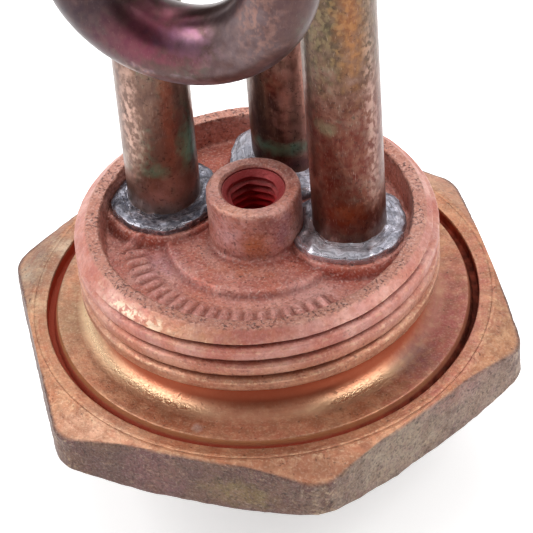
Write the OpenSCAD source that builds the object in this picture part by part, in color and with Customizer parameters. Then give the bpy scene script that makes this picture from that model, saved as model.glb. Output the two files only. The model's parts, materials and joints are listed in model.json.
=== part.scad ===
// Screw plug immersion heater for a small hot water tank.
// A brass hex plug with a parallel pipe thread carries a folded copper heating element, a copper pocket
// for a control stem and a tapped boss for an anode rod. The plug's axis is Z, the gasket seat is the
// plane Z = 0, the wet side points up, and one spanner flat faces -Y.

/* [Hex head] */
// Width across the spanner flats
hex_af = 54.6; // [52:0.1:64]
// Height of the hex from its dry face to the gasket seat
hex_h = 7.5; // [6:0.1:14]
// Radial depth to which the hex corners are turned off
corner_cut = 0.6; // [0.2:0.1:2]
// Angle of the turned chamfers on both hex faces
hex_chamfer_deg = 24; // [10:1:40]

/* [Gasket groove] */
// Width of the seat ring between the groove and a spanner flat
seat_ring_w = 1.95; // [1:0.05:3]
// Width of the groove at the seat
groove_w = 1.25; // [1:0.05:2.4]
// Depth of the groove below the seat
groove_depth = 1.6; // [0.8:0.1:3]
// Width of the groove's flat bottom
groove_flat = 0.7; // [0.2:0.05:0.8]

/* [Threaded neck] */
// Outside diameter of the pipe thread
thread_d = 41.91; // [38:0.01:44]
// Height of the thread's lower end above the seat
thread_z = 4.3; // [3.5:0.1:6]
// Height of the rim above the seat
rim_z = 12.6; // [12:0.1:18]
// Leg of the chamfer that leads the thread in
rim_chamfer = 1.5; // [0.8:0.1:2]
// Radial depth of the thread relief below the thread's outside
relief_depth = 2.35; // [1.5:0.05:3]
// Radius of the fillet between the relief and the gasket land
relief_fillet = 2.8; // [0.5:0.1:3]

/* [Wet face] */
// Width of the rim's flat top
rim_flat = 1.45; // [0.8:0.05:1.8]
// Amount by which the recess narrows from the rim to the cast floor
wall_lean = 0.4; // [0.1:0.05:0.6]
// Height of the cast floor above the seat
floor_z = 9; // [8:0.1:10]
// Radius of the low hub round the anode boss
hub_r = 10.3; // [8:0.1:12]
// Height of the hub above the cast floor
hub_rise = 0.8; // [0.3:0.1:1.1]
// Diameter of the raised pad round each tube
pad_d = 14.2; // [13.2:0.1:15]
// Height of the pads above the cast floor
pad_rise = 1.3; // [1.2:0.1:2]
// Draft of the cast pads and hub
cast_draft_deg = 20; // [5:1:30]

/* [Anode boss] */
// Outside diameter of the boss
boss_d = 10.8; // [9.5:0.1:11.6]
// Height of the boss above the seat
boss_z = 16.5; // [14:0.1:22]
// Radius of the cast fillet at the boss's foot
boss_fillet = 0.8; // [0.3:0.1:1.2]
// Wall diameter of the tapped anode hole
anode_d = 5.1; // [4:0.1:6]
// Depth of the anode hole from the boss's top
anode_depth = 11.5; // [8:0.1:13]
// Mouth diameter of the countersink
countersink_d = 7.9; // [7:0.1:8.8]

/* [Dry side] */
// Clearance between the tubes and the wall of the hollow in the dry side
dish_gap = 0.75; // [0.3:0.05:3]
// Depth of the hollow below the hex's dry face
dish_depth = 6; // [4:0.1:6.5]
// Radius of the fillet in the hollow's corner
dish_fillet = 0.6; // [0.2:0.1:1]

/* [Tubes] */
// Outside diameter of the copper tubes
tube_d = 8.5; // [7:0.1:9]
// Wall of the copper tubes
tube_wall = 0.8; // [0.5:0.05:1.2]
// Clearance between the left leg and the recess's wall
leg_wall_gap = 1.05; // [0.3:0.05:2]
// Clearance between the right leg and the anode boss
leg_boss_gap = 1.1; // [0.6:0.05:2.5]
// Clearance between the pocket and the recess's wall
pocket_wall_gap = 1.65; // [0.3:0.05:2.5]
// Depthwise place of the legs
leg_y = 2.5; // [1:0.1:4]
// Depthwise place of the two front runs
front_y = -9.2; // [-10:0.1:-8]
// Height of the return bend's lowest point above the seat
bend_low_z = 38.9; // [25:0.1:120]
// Height of the folded element above the seat
element_z = 272; // [200:1:400]
// Sideways place of the pocket
pocket_x = 0.3; // [-1:0.1:1]
// Height of the pocket's closed end above the seat
pocket_z = 262; // [120:1:400]
// Length of tube that stands out of the hollow's floor
tube_stub = 2.5; // [1:0.1:4]
// Radial gap between a tube and its hole
tube_gap = 0.05; // [0.02:0.01:0.15]

/* [Solder] */
// Outside diameter of the solder rings
solder_d = 13; // [11:0.1:13.2]
// Height of the solder above the pads at the tube
solder_rise = 1.2; // [0.8:0.1:2]
// Height of the solder's rounded outer edge
solder_edge = 0.5; // [0.2:0.05:0.7]

/* [Element inside] */
// Diameter of the cold pins
pin_d = 2.5; // [2:0.1:3]
// Height above the seat at which a cold pin ends
pin_in_z = 34; // [25:1:60]
// Length of pin that sits in the winding
pin_grip = 8; // [4:0.5:12]
// Radial thickness of the winding
coil_wall = 0.6; // [0.3:0.05:0.8]
// Length of the resin plug in each end of the sheath
seal_len = 5; // [3:0.5:10]

/* [Terminals] */
// Diameter of the ceramic bush's neck
bush_neck_d = 5.8; // [5:0.1:7]
// Length of the ceramic bush
bush_len = 5.7; // [4:0.1:9]
// Thickness of the ceramic bush's flange
bush_flange = 1.2; // [0.8:0.1:2]
// Radial gap between a pin and its bush
bush_gap = 0.05; // [0.02:0.01:0.2]
// Diameter of the blade's collar
collar_d = 4.8; // [4.4:0.1:6]
// Length of the blade's collar
collar_len = 3.5; // [2:0.1:5]
// Depth of the pin's seat in the collar
collar_seat = 3; // [1:0.1:4]
// Width of the push-on blades
blade_w = 6.3; // [4.8:0.1:6.3]
// Thickness of the push-on blades
blade_t = 0.8; // [0.5:0.05:0.8]
// Length of the push-on blades
blade_len = 8; // [6:0.1:10]
// Diameter of the detent hole in a blade
detent_d = 1.6; // [1.2:0.1:2]

/* [Earth terminal] */
// Depthwise place of the earth screw
earth_y = -9.5; // [-10:0.1:-8]
// Diameter of the earth screw's shank
screw_d = 4; // [3:0.1:4]
// Length of screw in the plug
screw_len = 6.5; // [4:0.1:7]
// Diameter of the screw's head
head_d = 7.2; // [6:0.1:7.4]
// Height of the screw's head
head_h = 2.6; // [2:0.1:3.5]
// Width of the head's slot
slot_w = 1; // [0.8:0.1:1.4]
// Depth of the head's slot
slot_depth = 1.2; // [0.8:0.1:1.5]
// Radial gap round the screw's shank
screw_gap = 0.05; // [0.02:0.01:0.15]
// Thickness of the spring washer
washer_t = 0.9; // [0.6:0.1:1.2]
// Outside diameter of the spring washer
washer_d = 7; // [6:0.1:7.4]
// Width of the spring washer's split
washer_split = 0.8; // [0.4:0.1:1.2]
// Outside diameter of the earth tab's eye
eye_d = 8.4; // [7.6:0.1:9]
// Inside radius of the earth tab's bend
tab_bend_r = 0.6; // [0.3:0.1:1]
// Length of the earth tab from the hollow's floor
earth_len = 13; // [11:0.1:16]

/* [Hidden] */
$fn = 64;
// Overshoot of a cut past the face it opens
over = 1;
// Angle of the point that a drill leaves
drill_point_deg = 118;

thread_r = thread_d / 2;
rim_outer_r = thread_r - rim_chamfer;
rim_inner_r = rim_outer_r - rim_flat;
floor_r = rim_inner_r - wall_lean;
relief_r = thread_r - relief_depth;
// The hex chamfers start at the circle that touches the flats
chamfer_r = hex_af / 2;
hex_corner_r = chamfer_r / cos(30) - corner_cut;
chamfer_drop = (hex_corner_r - chamfer_r) * tan(hex_chamfer_deg);
groove_outer_r = chamfer_r - seat_ring_w;
land_r = groove_outer_r - groove_w;
hub_z = floor_z + hub_rise;
pad_z = floor_z + pad_rise;
solder_z = pad_z + solder_rise;
dish_z = dish_depth - hex_h;
boss_r = boss_d / 2;

tube_r = tube_d / 2;
bore_r = tube_r - tube_wall;
left_reach = floor_r - tube_r - leg_wall_gap;
right_reach = boss_r + leg_boss_gap + tube_r;
pocket_reach = floor_r - tube_r - pocket_wall_gap;
// Places of the tubes are kept to a hundredth of a millimetre, so that runs and bends meet exactly
function hundredth(v) = round(v * 100) / 100;
leg_left = [-hundredth(sqrt(left_reach ^ 2 - leg_y ^ 2)), leg_y];
leg_right = [hundredth(sqrt(right_reach ^ 2 - leg_y ^ 2)), leg_y];
pocket = [pocket_x, hundredth(sqrt(pocket_reach ^ 2 - pocket_x ^ 2))];
tube_places = [leg_left, leg_right, pocket];
dish_r = max([for (at = tube_places) norm(at)]) + tube_r + dish_gap;
fold_r = (leg_y - front_y) / 2;
bend_r = (leg_right.x - leg_left.x) / 2;
bend_x = (leg_right.x + leg_left.x) / 2;
fold_z = element_z - tube_r - fold_r;
bend_z = bend_low_z + tube_r + bend_r;
tube_end_z = dish_z - tube_stub;

pin_r = pin_d / 2;
coil_r = pin_r + coil_wall;
coil_z = pin_in_z - pin_grip;
fill_z = tube_end_z + seal_len;
bush_end_z = tube_end_z - bush_len;
collar_end_z = bush_end_z - collar_len;

earth = [0, earth_y];
shank_r = screw_d / 2;
washer_z = dish_z - blade_t - washer_t;

// Copper, brass and the other materials as they look after years in hot water
brass_colour = [0.72, 0.45, 0.35];
copper_colour = [0.45, 0.29, 0.24];
solder_colour = [0.58, 0.59, 0.63];
steel_colour = [0.7, 0.71, 0.72];
ceramic_colour = [0.9, 0.88, 0.83];

// Turned hex bar: six flats, round corners and a chamfer on both faces
module hex_head() {
    intersection() {
        translate([0, 0, -hex_h]) cylinder(d = hex_af / cos(30), h = hex_h, $fn = 6);
        rotate_extrude() polygon([[0, -hex_h], [chamfer_r, -hex_h],
            [hex_corner_r, chamfer_drop - hex_h], [hex_corner_r, -chamfer_drop],
            [chamfer_r, 0], [0, 0]]);
    }
}

// Half section of the neck, from inside the hex up to the rim and down to the cast floor
module neck_section() {
    polygon([[0, -hex_h / 2], [relief_r, -hex_h / 2], [relief_r, thread_z - (thread_r - relief_r) / 2],
        [thread_r, thread_z], [thread_r, rim_z - rim_chamfer], [rim_outer_r, rim_z],
        [rim_inner_r, rim_z], [floor_r, floor_z], [0, floor_z]]);
    difference() {
        translate([relief_r, -hex_h / 2]) square([relief_fillet, hex_h / 2 + relief_fillet]);
        translate([relief_r + relief_fillet, relief_fillet]) circle(relief_fillet);
    }
}

// Groove round the gasket land: upright outer wall, narrow flat and a sloping inner side
module gasket_groove() {
    rotate_extrude() polygon([[land_r, 0], [groove_outer_r - groove_flat, -groove_depth],
        [groove_outer_r, -groove_depth], [groove_outer_r, over], [land_r, over]]);
}

// Low cast step of the given top radius that rises from below the floor with draft
module cast_step(r, top_z) {
    root = hub_rise + pad_rise;
    translate([0, 0, top_z - root]) cylinder(r1 = r + root * tan(cast_draft_deg), r2 = r, h = root);
}

// Anode boss with the cast fillet at its foot
module boss_form() {
    rotate_extrude() {
        translate([0, floor_z / 2]) square([boss_r, boss_z - floor_z / 2]);
        difference() {
            translate([boss_r, hub_z - hub_rise]) square([boss_fillet, hub_rise + boss_fillet]);
            translate([boss_r + boss_fillet, hub_z + boss_fillet]) circle(boss_fillet);
        }
    }
}

// Tapped anode hole with its countersink and drill point
module anode_hole() {
    r = anode_d / 2;
    bottom_z = boss_z - anode_depth;
    sink = (countersink_d - anode_d) / 2;
    rotate_extrude() polygon([[0, bottom_z - r / tan(drill_point_deg / 2)], [r, bottom_z],
        [r, boss_z - sink], [countersink_d / 2, boss_z], [countersink_d / 2, boss_z + over],
        [0, boss_z + over]]);
}

// Hollow of the dry side with a filleted corner
module dry_hollow() {
    rotate_extrude() {
        translate([0, -hex_h - over]) square([dish_r - dish_fillet, dish_depth + over]);
        translate([0, -hex_h - over]) square([dish_r, dish_depth + over - dish_fillet]);
        translate([dish_r - dish_fillet, dish_z - dish_fillet]) circle(dish_fillet);
    }
}

module plug_body() {
    color(brass_colour) difference() {
        union() {
            hex_head();
            rotate_extrude() neck_section();
            cast_step(hub_r, hub_z);
            intersection() {
                for (at = tube_places) translate(at) cast_step(pad_d / 2, pad_z);
                cylinder(r = rim_outer_r, h = rim_z);
            }
            boss_form();
        }
        gasket_groove();
        dry_hollow();
        anode_hole();
        for (at = tube_places)
            translate([at.x, at.y, dish_z - over])
                cylinder(r = tube_r + tube_gap, h = boss_z - dish_z + 2 * over);
        translate([earth.x, earth.y, dish_z - over])
            cylinder(r = shank_r + screw_gap, h = screw_len + 2 * over);
    }
}

// Solder ring round the tube at a place, stopped by the boss and by the recess's wall
module solder_ring(at) {
    ring_r = solder_d / 2;
    color(solder_colour) difference() {
        translate(at) rotate_extrude() polygon([[tube_r, pad_z], [ring_r, pad_z],
            [ring_r, pad_z + solder_edge], [tube_r + (ring_r - tube_r) / 3, solder_z - solder_edge / 2],
            [tube_r, solder_z]]);
        boss_form();
        rotate_extrude() polygon([[floor_r, floor_z], [thread_r, floor_z], [thread_r, rim_z],
            [rim_inner_r, rim_z]]);
    }
}

module solder_ring_left() solder_ring(leg_left);
module solder_ring_right() solder_ring(leg_right);
module solder_ring_back() solder_ring(pocket);

// Ring section of a tube, or a disc where the inside radius is zero
module tube_section(outer_r, inner_r) {
    difference() {
        circle(outer_r);
        if (inner_r > 0) circle(inner_r);
    }
}

// Upright run of a tube between two heights
module tube_run(at, low_z, high_z, outer_r, inner_r) {
    translate([at.x, at.y, low_z]) linear_extrude(high_z - low_z) tube_section(outer_r, inner_r);
}

// Half turn of a tube, standing on the plane of its two ends
module half_turn(turn_r, outer_r, inner_r) {
    rotate_extrude(angle = 180) translate([turn_r, 0]) tube_section(outer_r, inner_r);
}

// Whole folded route of the element: a leg, its fold, a front run, the low return bend and back again
module element_route(end_z, outer_r, inner_r) {
    for (leg = [leg_left, leg_right]) {
        tube_run(leg, end_z, fold_z, outer_r, inner_r);
        translate([leg.x, leg.y - fold_r, fold_z]) rotate([90, 0, 90]) half_turn(fold_r, outer_r, inner_r);
        tube_run([leg.x, front_y], bend_z, fold_z, outer_r, inner_r);
    }
    translate([bend_x, front_y, bend_z]) rotate([-90, 0, 0]) half_turn(bend_r, outer_r, inner_r);
}

module element_sheath() {
    color(copper_colour) element_route(tube_end_z, tube_r, bore_r);
}

// Straight pocket with a domed end and an open mouth on the dry side
module pocket_tube() {
    dome_z = pocket_z - tube_r;
    color(copper_colour) translate([pocket.x, pocket.y, 0]) rotate_extrude() difference() {
        union() {
            translate([0, tube_end_z]) square([tube_r, dome_z - tube_end_z]);
            intersection() {
                translate([0, dome_z]) circle(tube_r);
                translate([0, dome_z]) square(tube_r);
            }
        }
        translate([0, tube_end_z - over]) square([bore_r, dome_z - tube_end_z + over]);
        intersection() {
            translate([0, dome_z]) circle(bore_r);
            translate([0, dome_z - over]) square([bore_r, bore_r + over]);
        }
    }
}

// Outer envelope of the resistance winding
module heating_coil() {
    color("dimgray") element_route(coil_z, coil_r, pin_r);
}

// Packed powder between winding and sheath, round the pins and in the winding's core
module magnesia_fill() {
    color("whitesmoke") {
        difference() {
            element_route(fill_z, bore_r, 0);
            element_route(coil_z, coil_r, 0);
            for (leg = [leg_left, leg_right]) tube_run(leg, fill_z - over, coil_z + over, pin_r, 0);
        }
        element_route(pin_in_z, pin_r, 0);
    }
}

module cold_pin(leg) {
    color(steel_colour) tube_run(leg, collar_end_z + collar_len - collar_seat, pin_in_z, pin_r, 0);
}

module cold_pin_left() cold_pin(leg_left);
module cold_pin_right() cold_pin(leg_right);

module end_seal(leg) {
    color("firebrick") tube_run(leg, tube_end_z, fill_z, bore_r, pin_r);
}

module end_seal_left() end_seal(leg_left);
module end_seal_right() end_seal(leg_right);

// Ceramic bush: a flange on the sheath's end and a neck round the pin
module terminal_bush(leg) {
    inner_r = pin_r + bush_gap;
    color(ceramic_colour) {
        tube_run(leg, tube_end_z - bush_flange, tube_end_z, tube_r, inner_r);
        tube_run(leg, bush_end_z, tube_end_z - bush_flange, bush_neck_d / 2, inner_r);
    }
}

module terminal_bush_left() terminal_bush(leg_left);
module terminal_bush_right() terminal_bush(leg_right);

// Outline of a push-on blade that hangs from the origin, with bevelled corners and a detent hole
module blade_outline(length) {
    bevel = blade_w / 6;
    difference() {
        polygon([[-blade_w / 2, 0], [blade_w / 2, 0], [blade_w / 2, bevel - length],
            [blade_w / 2 - bevel, -length], [bevel - blade_w / 2, -length],
            [-blade_w / 2, bevel - length]]);
        translate([0, blade_w / 2 - length]) circle(d = detent_d);
    }
}

// Push-on blade on a collar that is pressed over the pin's end
module terminal_tab(leg) {
    color(steel_colour) translate([leg.x, leg.y, 0]) {
        difference() {
            translate([0, 0, collar_end_z]) cylinder(d = collar_d, h = collar_len);
            translate([0, 0, bush_end_z - collar_seat]) cylinder(r = pin_r, h = collar_seat + over);
        }
        translate([blade_t / 2, 0, collar_end_z]) rotate([90, 0, -90])
            linear_extrude(blade_t) blade_outline(blade_len);
    }
}

module terminal_tab_left() terminal_tab(leg_left);
module terminal_tab_right() terminal_tab(leg_right);

// Earth tab: an eye under the screw, a rounded bend and a blade that hangs towards the dry side
module earth_tab() {
    bend_out_r = tab_bend_r + blade_t;
    bend_y = earth_y - eye_d / 2;
    color(steel_colour) difference() {
        union() {
            translate([0, earth_y, dish_z - blade_t]) cylinder(d = eye_d, h = blade_t);
            translate([-blade_w / 2, bend_y, dish_z - blade_t]) cube([blade_w, eye_d / 2, blade_t]);
            translate([-blade_w / 2, bend_y, dish_z - bend_out_r]) rotate([90, 0, 90])
                rotate([0, 0, 90]) linear_extrude(blade_w) intersection() {
                    tube_section(bend_out_r, tab_bend_r);
                    square(bend_out_r);
                }
            translate([0, bend_y - tab_bend_r, dish_z - bend_out_r]) rotate([90, 0, 0])
                linear_extrude(blade_t) blade_outline(earth_len - bend_out_r);
        }
        translate([0, earth_y, dish_z - blade_t - over])
            cylinder(r = shank_r + screw_gap, h = blade_t + 2 * over);
    }
}

// Split spring washer between the earth tab and the screw's head
module earth_washer() {
    color(steel_colour) translate([earth.x, earth.y, washer_z]) difference() {
        cylinder(d = washer_d, h = washer_t);
        translate([0, 0, -over]) cylinder(r = shank_r + screw_gap, h = washer_t + 2 * over);
        translate([0, -washer_split / 2, -over]) cube([washer_d, washer_split, washer_t + 2 * over]);
    }
}

module earth_screw() {
    head_z = washer_z - head_h;
    color(steel_colour) translate([earth.x, earth.y, 0]) difference() {
        union() {
            translate([0, 0, head_z]) cylinder(d = head_d, h = head_h);
            translate([0, 0, washer_z - over]) cylinder(r = shank_r, h = dish_z + screw_len - washer_z + over);
        }
        translate([-head_d, -slot_w / 2, head_z - over]) cube([2 * head_d, slot_w, slot_depth + over]);
    }
}

plug_body();
element_sheath();
pocket_tube();
solder_ring_left();
solder_ring_right();
solder_ring_back();
heating_coil();
magnesia_fill();
cold_pin_left();
cold_pin_right();
end_seal_left();
end_seal_right();
terminal_bush_left();
terminal_bush_right();
terminal_tab_left();
terminal_tab_right();
earth_tab();
earth_washer();
earth_screw();
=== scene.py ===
import json
import math
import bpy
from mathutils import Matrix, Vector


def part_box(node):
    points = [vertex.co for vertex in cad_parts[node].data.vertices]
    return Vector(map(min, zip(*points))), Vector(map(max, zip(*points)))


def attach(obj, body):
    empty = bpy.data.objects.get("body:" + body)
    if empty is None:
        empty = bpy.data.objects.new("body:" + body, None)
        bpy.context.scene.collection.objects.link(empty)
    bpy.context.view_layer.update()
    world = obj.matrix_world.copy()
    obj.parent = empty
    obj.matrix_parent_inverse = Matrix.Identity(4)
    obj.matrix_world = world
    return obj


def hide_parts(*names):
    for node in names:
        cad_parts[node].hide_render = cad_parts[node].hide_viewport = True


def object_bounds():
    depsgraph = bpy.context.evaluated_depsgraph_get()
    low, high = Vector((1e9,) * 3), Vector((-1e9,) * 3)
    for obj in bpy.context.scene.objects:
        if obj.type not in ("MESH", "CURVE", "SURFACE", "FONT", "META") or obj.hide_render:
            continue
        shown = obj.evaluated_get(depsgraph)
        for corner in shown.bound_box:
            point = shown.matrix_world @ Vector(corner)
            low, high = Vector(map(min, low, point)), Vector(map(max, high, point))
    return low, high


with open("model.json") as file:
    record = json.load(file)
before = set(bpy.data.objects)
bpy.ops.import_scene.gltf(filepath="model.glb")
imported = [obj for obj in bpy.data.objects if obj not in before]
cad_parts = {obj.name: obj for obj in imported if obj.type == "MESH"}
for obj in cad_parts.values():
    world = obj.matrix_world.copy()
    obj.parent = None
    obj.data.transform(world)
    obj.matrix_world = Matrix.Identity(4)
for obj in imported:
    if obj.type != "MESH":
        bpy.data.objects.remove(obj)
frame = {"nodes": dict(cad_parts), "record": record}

from types import SimpleNamespace

import bmesh
import bpy
import numpy as np
from mathutils import Matrix, Vector, noise

bl_info = {
    "name": "Screw plug heater",
    "version": (1, 0, 0),
    "blender": (4, 5, 0),
    "location": "3D View > Sidebar > Heater",
    "description": "Dresses a screw plug immersion heater: brass plug, copper tubes, solder and terminals",
    "category": "Object",
}

MM = 0.001
CAD_BOX = [list(corner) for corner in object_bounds()]
PLUG_LOW, PLUG_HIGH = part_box("plug_body")
SHEATH_LOW, SHEATH_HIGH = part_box("element_sheath")
POCKET_LOW, POCKET_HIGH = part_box("pocket_tube")
MOUNT_DIMS = {mount["name"]: mount["dims"] for mount in frame["record"]["mounts"]}


def plan_place(node):
    """Middle of a node's box seen from above, in millimetres."""
    low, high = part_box(node)
    return (low.x + high.x) / 2 / MM, (low.y + high.y) / 2 / MM


LEG_LEFT = plan_place("terminal_bush_left")
LEG_RIGHT = plan_place("terminal_bush_right")
POCKET = plan_place("pocket_tube")
EARTH = plan_place("earth_screw")
TUBE_D = (POCKET_HIGH.x - POCKET_LOW.x) / MM
FRONT_Y = SHEATH_LOW.y / MM + TUBE_D / 2
BOSS_Z = PLUG_HIGH.z / MM

# Points round the plug, a multiple of six so that the hex corners fall on them
PLUG_SIDES = 288
TUBE_SIDES = 56
SOLDER_SIDES = 120
# Largest turn between two points of a rounded corner
ARC_STEP = math.radians(18)
# Width in pixels of the picture that the view's focal length is stated for
PICTURE_W = 533


def linear(code):
    """Linear colour of an sRGB hex code."""
    parts = [int(code[i:i + 2], 16) / 255 for i in (1, 3, 5)]
    return [c / 12.92 if c <= 0.04045 else ((c + 0.055) / 1.055) ** 2.4 for c in parts]


def length(name, description, value):
    """Property for a size, given in millimetres."""
    return bpy.props.FloatProperty(name=name, description=description, default=value * MM, unit="LENGTH")


def tint(name, description, code):
    """Property for a colour, given as an sRGB hex code."""
    return bpy.props.FloatVectorProperty(
        name=name, description=description, default=linear(code), subtype="COLOR", size=3, min=0, max=1)


class HeaterPlugSizes(bpy.types.PropertyGroup):
    """Sizes of the brass plug"""
    flats: length("Across flats", "Width of the hex across its flats", (PLUG_HIGH.y - PLUG_LOW.y) / MM)
    corner_r: length("Corner radius", "Radius to which the hex corners are turned", PLUG_HIGH.x / MM)
    hex_h: length("Hex height", "Height of the hex below the gasket seat", -PLUG_LOW.z / MM)
    boss_z: length("Boss height", "Height of the anode boss above the seat", BOSS_Z)
    thread_r: length("Thread radius", "Outside radius of the pipe thread", MOUNT_DIMS["tank_thread"]["r_mm"])
    pitch: length("Thread pitch", "Pitch of the pipe thread", 2.309)
    thread_depth: length("Thread depth", "Depth of the pipe thread", 1.2)
    valley_z: length("Thread valley", "Height of the lowest thread valley on the +X side", 4.44)
    thread_z: length("Thread start", "Height of the thread's lower end", 4.3)
    rim_z: length("Rim height", "Height of the rim above the seat", 12.6)
    rim_chamfer: length("Rim chamfer", "Leg of the chamfer that leads the thread in", 1.5)
    rim_flat: length("Rim flat", "Width of the rim's flat top", 1.45)
    wall_lean: length("Wall lean", "Amount by which the recess narrows to the floor", 0.4)
    relief_r: length("Relief radius", "Radius of the relief below the thread", 18.605)
    relief_fillet: length("Relief fillet", "Fillet between the relief and the gasket land", 2.8)
    land_r: length("Land radius", "Outer radius of the gasket land", 24.1)
    groove_r: length("Groove radius", "Outer radius of the gasket groove", 25.35)
    groove_flat: length("Groove flat", "Width of the groove's bottom", 0.7)
    groove_depth: length("Groove depth", "Depth of the groove below the seat", 1.6)
    floor_z: length("Floor height", "Height of the cast floor above the seat", 9)
    hub_r: length("Hub radius", "Radius of the low hub round the boss", 10.3)
    hub_rise: length("Hub rise", "Height of the hub above the floor", 0.8)
    pad_r: length("Pad radius", "Radius of the raised pad round each tube", 7.1)
    pad_rise: length("Pad rise", "Height of the pads above the floor", 1.3)
    boss_r: length("Boss radius", "Outside radius of the anode boss", 5.4)
    boss_fillet: length("Boss fillet", "Fillet at the foot of the boss", 0.8)
    anode_r: length("Anode hole", "Inside radius of the tapped hole", MOUNT_DIMS["anode_thread"]["r_mm"])
    anode_depth: length("Anode depth", "Depth of the hole below the boss's top", 11.5)
    anode_pitch: length("Anode pitch", "Pitch of the thread in the hole", 1)
    sink_r: length("Countersink", "Mouth radius of the countersink", 3.95)
    dish_r: length("Hollow radius", "Radius of the hollow in the dry side", 17.3)
    dish_depth: length("Hollow depth", "Depth of the hollow in the dry side", 6)
    tube_gap: length("Tube gap", "Gap between a tube and its hole", 0.05)
    earth_r: length("Earth hole", "Radius of the earth screw's hole", 2.05)
    earth_depth: length("Earth depth", "Depth of the earth screw's hole", 7.5)
    mark_len: length("Mark length", "Length of the plain cast marks on the floor", 2.6)
    mark_w: length("Mark width", "Width of the plain cast marks on the floor", 0.85)
    mark_rise: length("Mark rise", "Height of the plain cast marks on the floor", 0.42)


class HeaterTubeSizes(bpy.types.PropertyGroup):
    """Sizes of the copper tubes and their solder"""
    tube_d: length("Tube diameter", "Outside diameter of the copper tubes", TUBE_D)
    wall: length("Tube wall", "Wall of the copper tubes", TUBE_D / 2 - MOUNT_DIMS["pocket_bore"]["r_mm"])
    bend_low: length("Bend height", "Lowest point of the return bend above the seat", 38.9)
    swing: length("Loop swing", "Sideways bend of the front loop, as bent in use", 2.0)
    coil_r: length("Winding radius", "Outside radius of the resistance winding", 1.85)
    coil_wall: length("Winding wall", "Thickness of the winding's sleeve", 0.6)
    powder_wall: length("Powder wall", "Thickness of the powder round the winding", 1.55)
    solder_r: length("Solder radius", "Mean outside radius of the solder rings", 6.5)
    solder_rise: length("Solder rise", "Height of the solder above its pad", 1.2)


class HeaterColours(bpy.types.PropertyGroup):
    """Colours of the finishes"""
    wet_red: tint("Wet face", "Matt copper-red oxide of the wet face", "#C67A69")
    wet_pink: tint("Wet face, pale", "Pale bloom on the wet face", "#DBA598")
    turned_gold: tint("Turned brass", "Golden tarnish of the turned surfaces", "#C18967")
    turned_rust: tint("Turned brass, red", "Redder tarnish of the turned surfaces", "#B46C4B")
    cast_brown: tint("Cast brass", "Grey-brown skin of the hex sides", "#5C3F37")
    groove_brown: tint("Groove", "Dark red-brown in the groove and hollows", "#B0503C")
    worn_brass: tint("Worn brass", "Bright metal on worn edges", "#F0D3AC")
    leg_brown: tint("Legs", "Grey-brown copper of the legs", "#7C6055")
    bend_mauve: tint("Bend", "Heat-tinted mauve of the return bend", "#523C40")
    pocket_brown: tint("Pocket", "Dark brown copper of the pocket", "#44241E")
    verdigris: tint("Verdigris", "Green copper patina", "#5F7F68")
    solder_grey: tint("Solder", "Dull blue-grey solder", "#B2B0BC")


class HeaterStageSettings(bpy.types.PropertyGroup):
    """View and light"""
    azimuth: bpy.props.FloatProperty(
        name="View azimuth", description="Turn of the view about the plug's axis",
        default=math.radians(21), subtype="ANGLE")
    elevation: bpy.props.FloatProperty(
        name="View elevation", description="Height of the view above the horizon",
        default=math.radians(41.65), subtype="ANGLE")
    roll: bpy.props.FloatProperty(
        name="View roll", description="Roll of the camera",
        default=math.radians(-4.8), subtype="ANGLE")
    distance: length("View distance", "Distance from the camera to the plane through the seat's middle", 331)
    across: length("View offset across", "Sideways place of the camera", 0.49)
    upwards: length("View offset up", "Upward place of the camera", 3.18)
    focal_px: bpy.props.FloatProperty(
        name="Focal length", description="Focal length in pixels of the picture", default=2822)
    floor_gap: length("Floor gap", "Gap between the lowest blade and the floor", 0.1)


def in_mm(group):
    """Sizes of a property group in millimetres, by name."""
    return SimpleNamespace(**{name: getattr(group, name) / MM for name in group.__annotations__})


def connect(tree, node, inputs):
    """Sets or links inputs of a node by name or number."""
    for key, value in inputs.items():
        if isinstance(value, bpy.types.NodeSocket):
            tree.links.new(value, node.inputs[key])
        else:
            node.inputs[key].default_value = value


def add(tree, kind, inputs=None, **settings):
    """Adds a node with its settings, and sets or links its inputs."""
    made = tree.nodes.new(kind)
    for key, value in settings.items():
        setattr(made, key, value)
    connect(tree, made, inputs or {})
    return made


# Meshes

def ease(value, low, high):
    """Smooth step from 0 at low to 1 at high."""
    t = np.clip((value - low) / (high - low), 0, 1)
    return t * t * (3 - 2 * t)


def fillet(before, corner, after, radius):
    """Points of the arc that rounds a corner of a profile."""
    into = (before - corner).normalized()
    away = (after - corner).normalized()
    half = into.angle(away) / 2
    setback = radius / math.tan(half)
    centre = corner + (into + away).normalized() * (radius / math.sin(half))
    start = (corner + into * setback - centre).normalized()
    end = (corner + away * setback - centre).normalized()
    steps = max(2, math.ceil(start.angle(end) / ARC_STEP))
    return [centre + start.slerp(end, k / steps) * radius for k in range(steps + 1)]


def rounded(corners):
    """Profile through (radius, height, fillet, spacing) corners.

    Each corner is rounded by its fillet, and the stretch that leads to it is cut at its spacing.
    """
    points = [Vector(corners[0][:2])]
    for i in range(1, len(corners)):
        arc = [Vector(corners[i][:2])]
        if i + 1 < len(corners) and corners[i][2] > 0:
            arc = fillet(Vector(corners[i - 1][:2]), arc[0], Vector(corners[i + 1][:2]), corners[i][2])
        start = points[-1]
        steps = max(1, math.ceil((arc[0] - start).length / corners[i][3]))
        points += [start.lerp(arc[0], k / steps) for k in range(1, steps + 1)]
        points += arc[1:]
    return points


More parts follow.
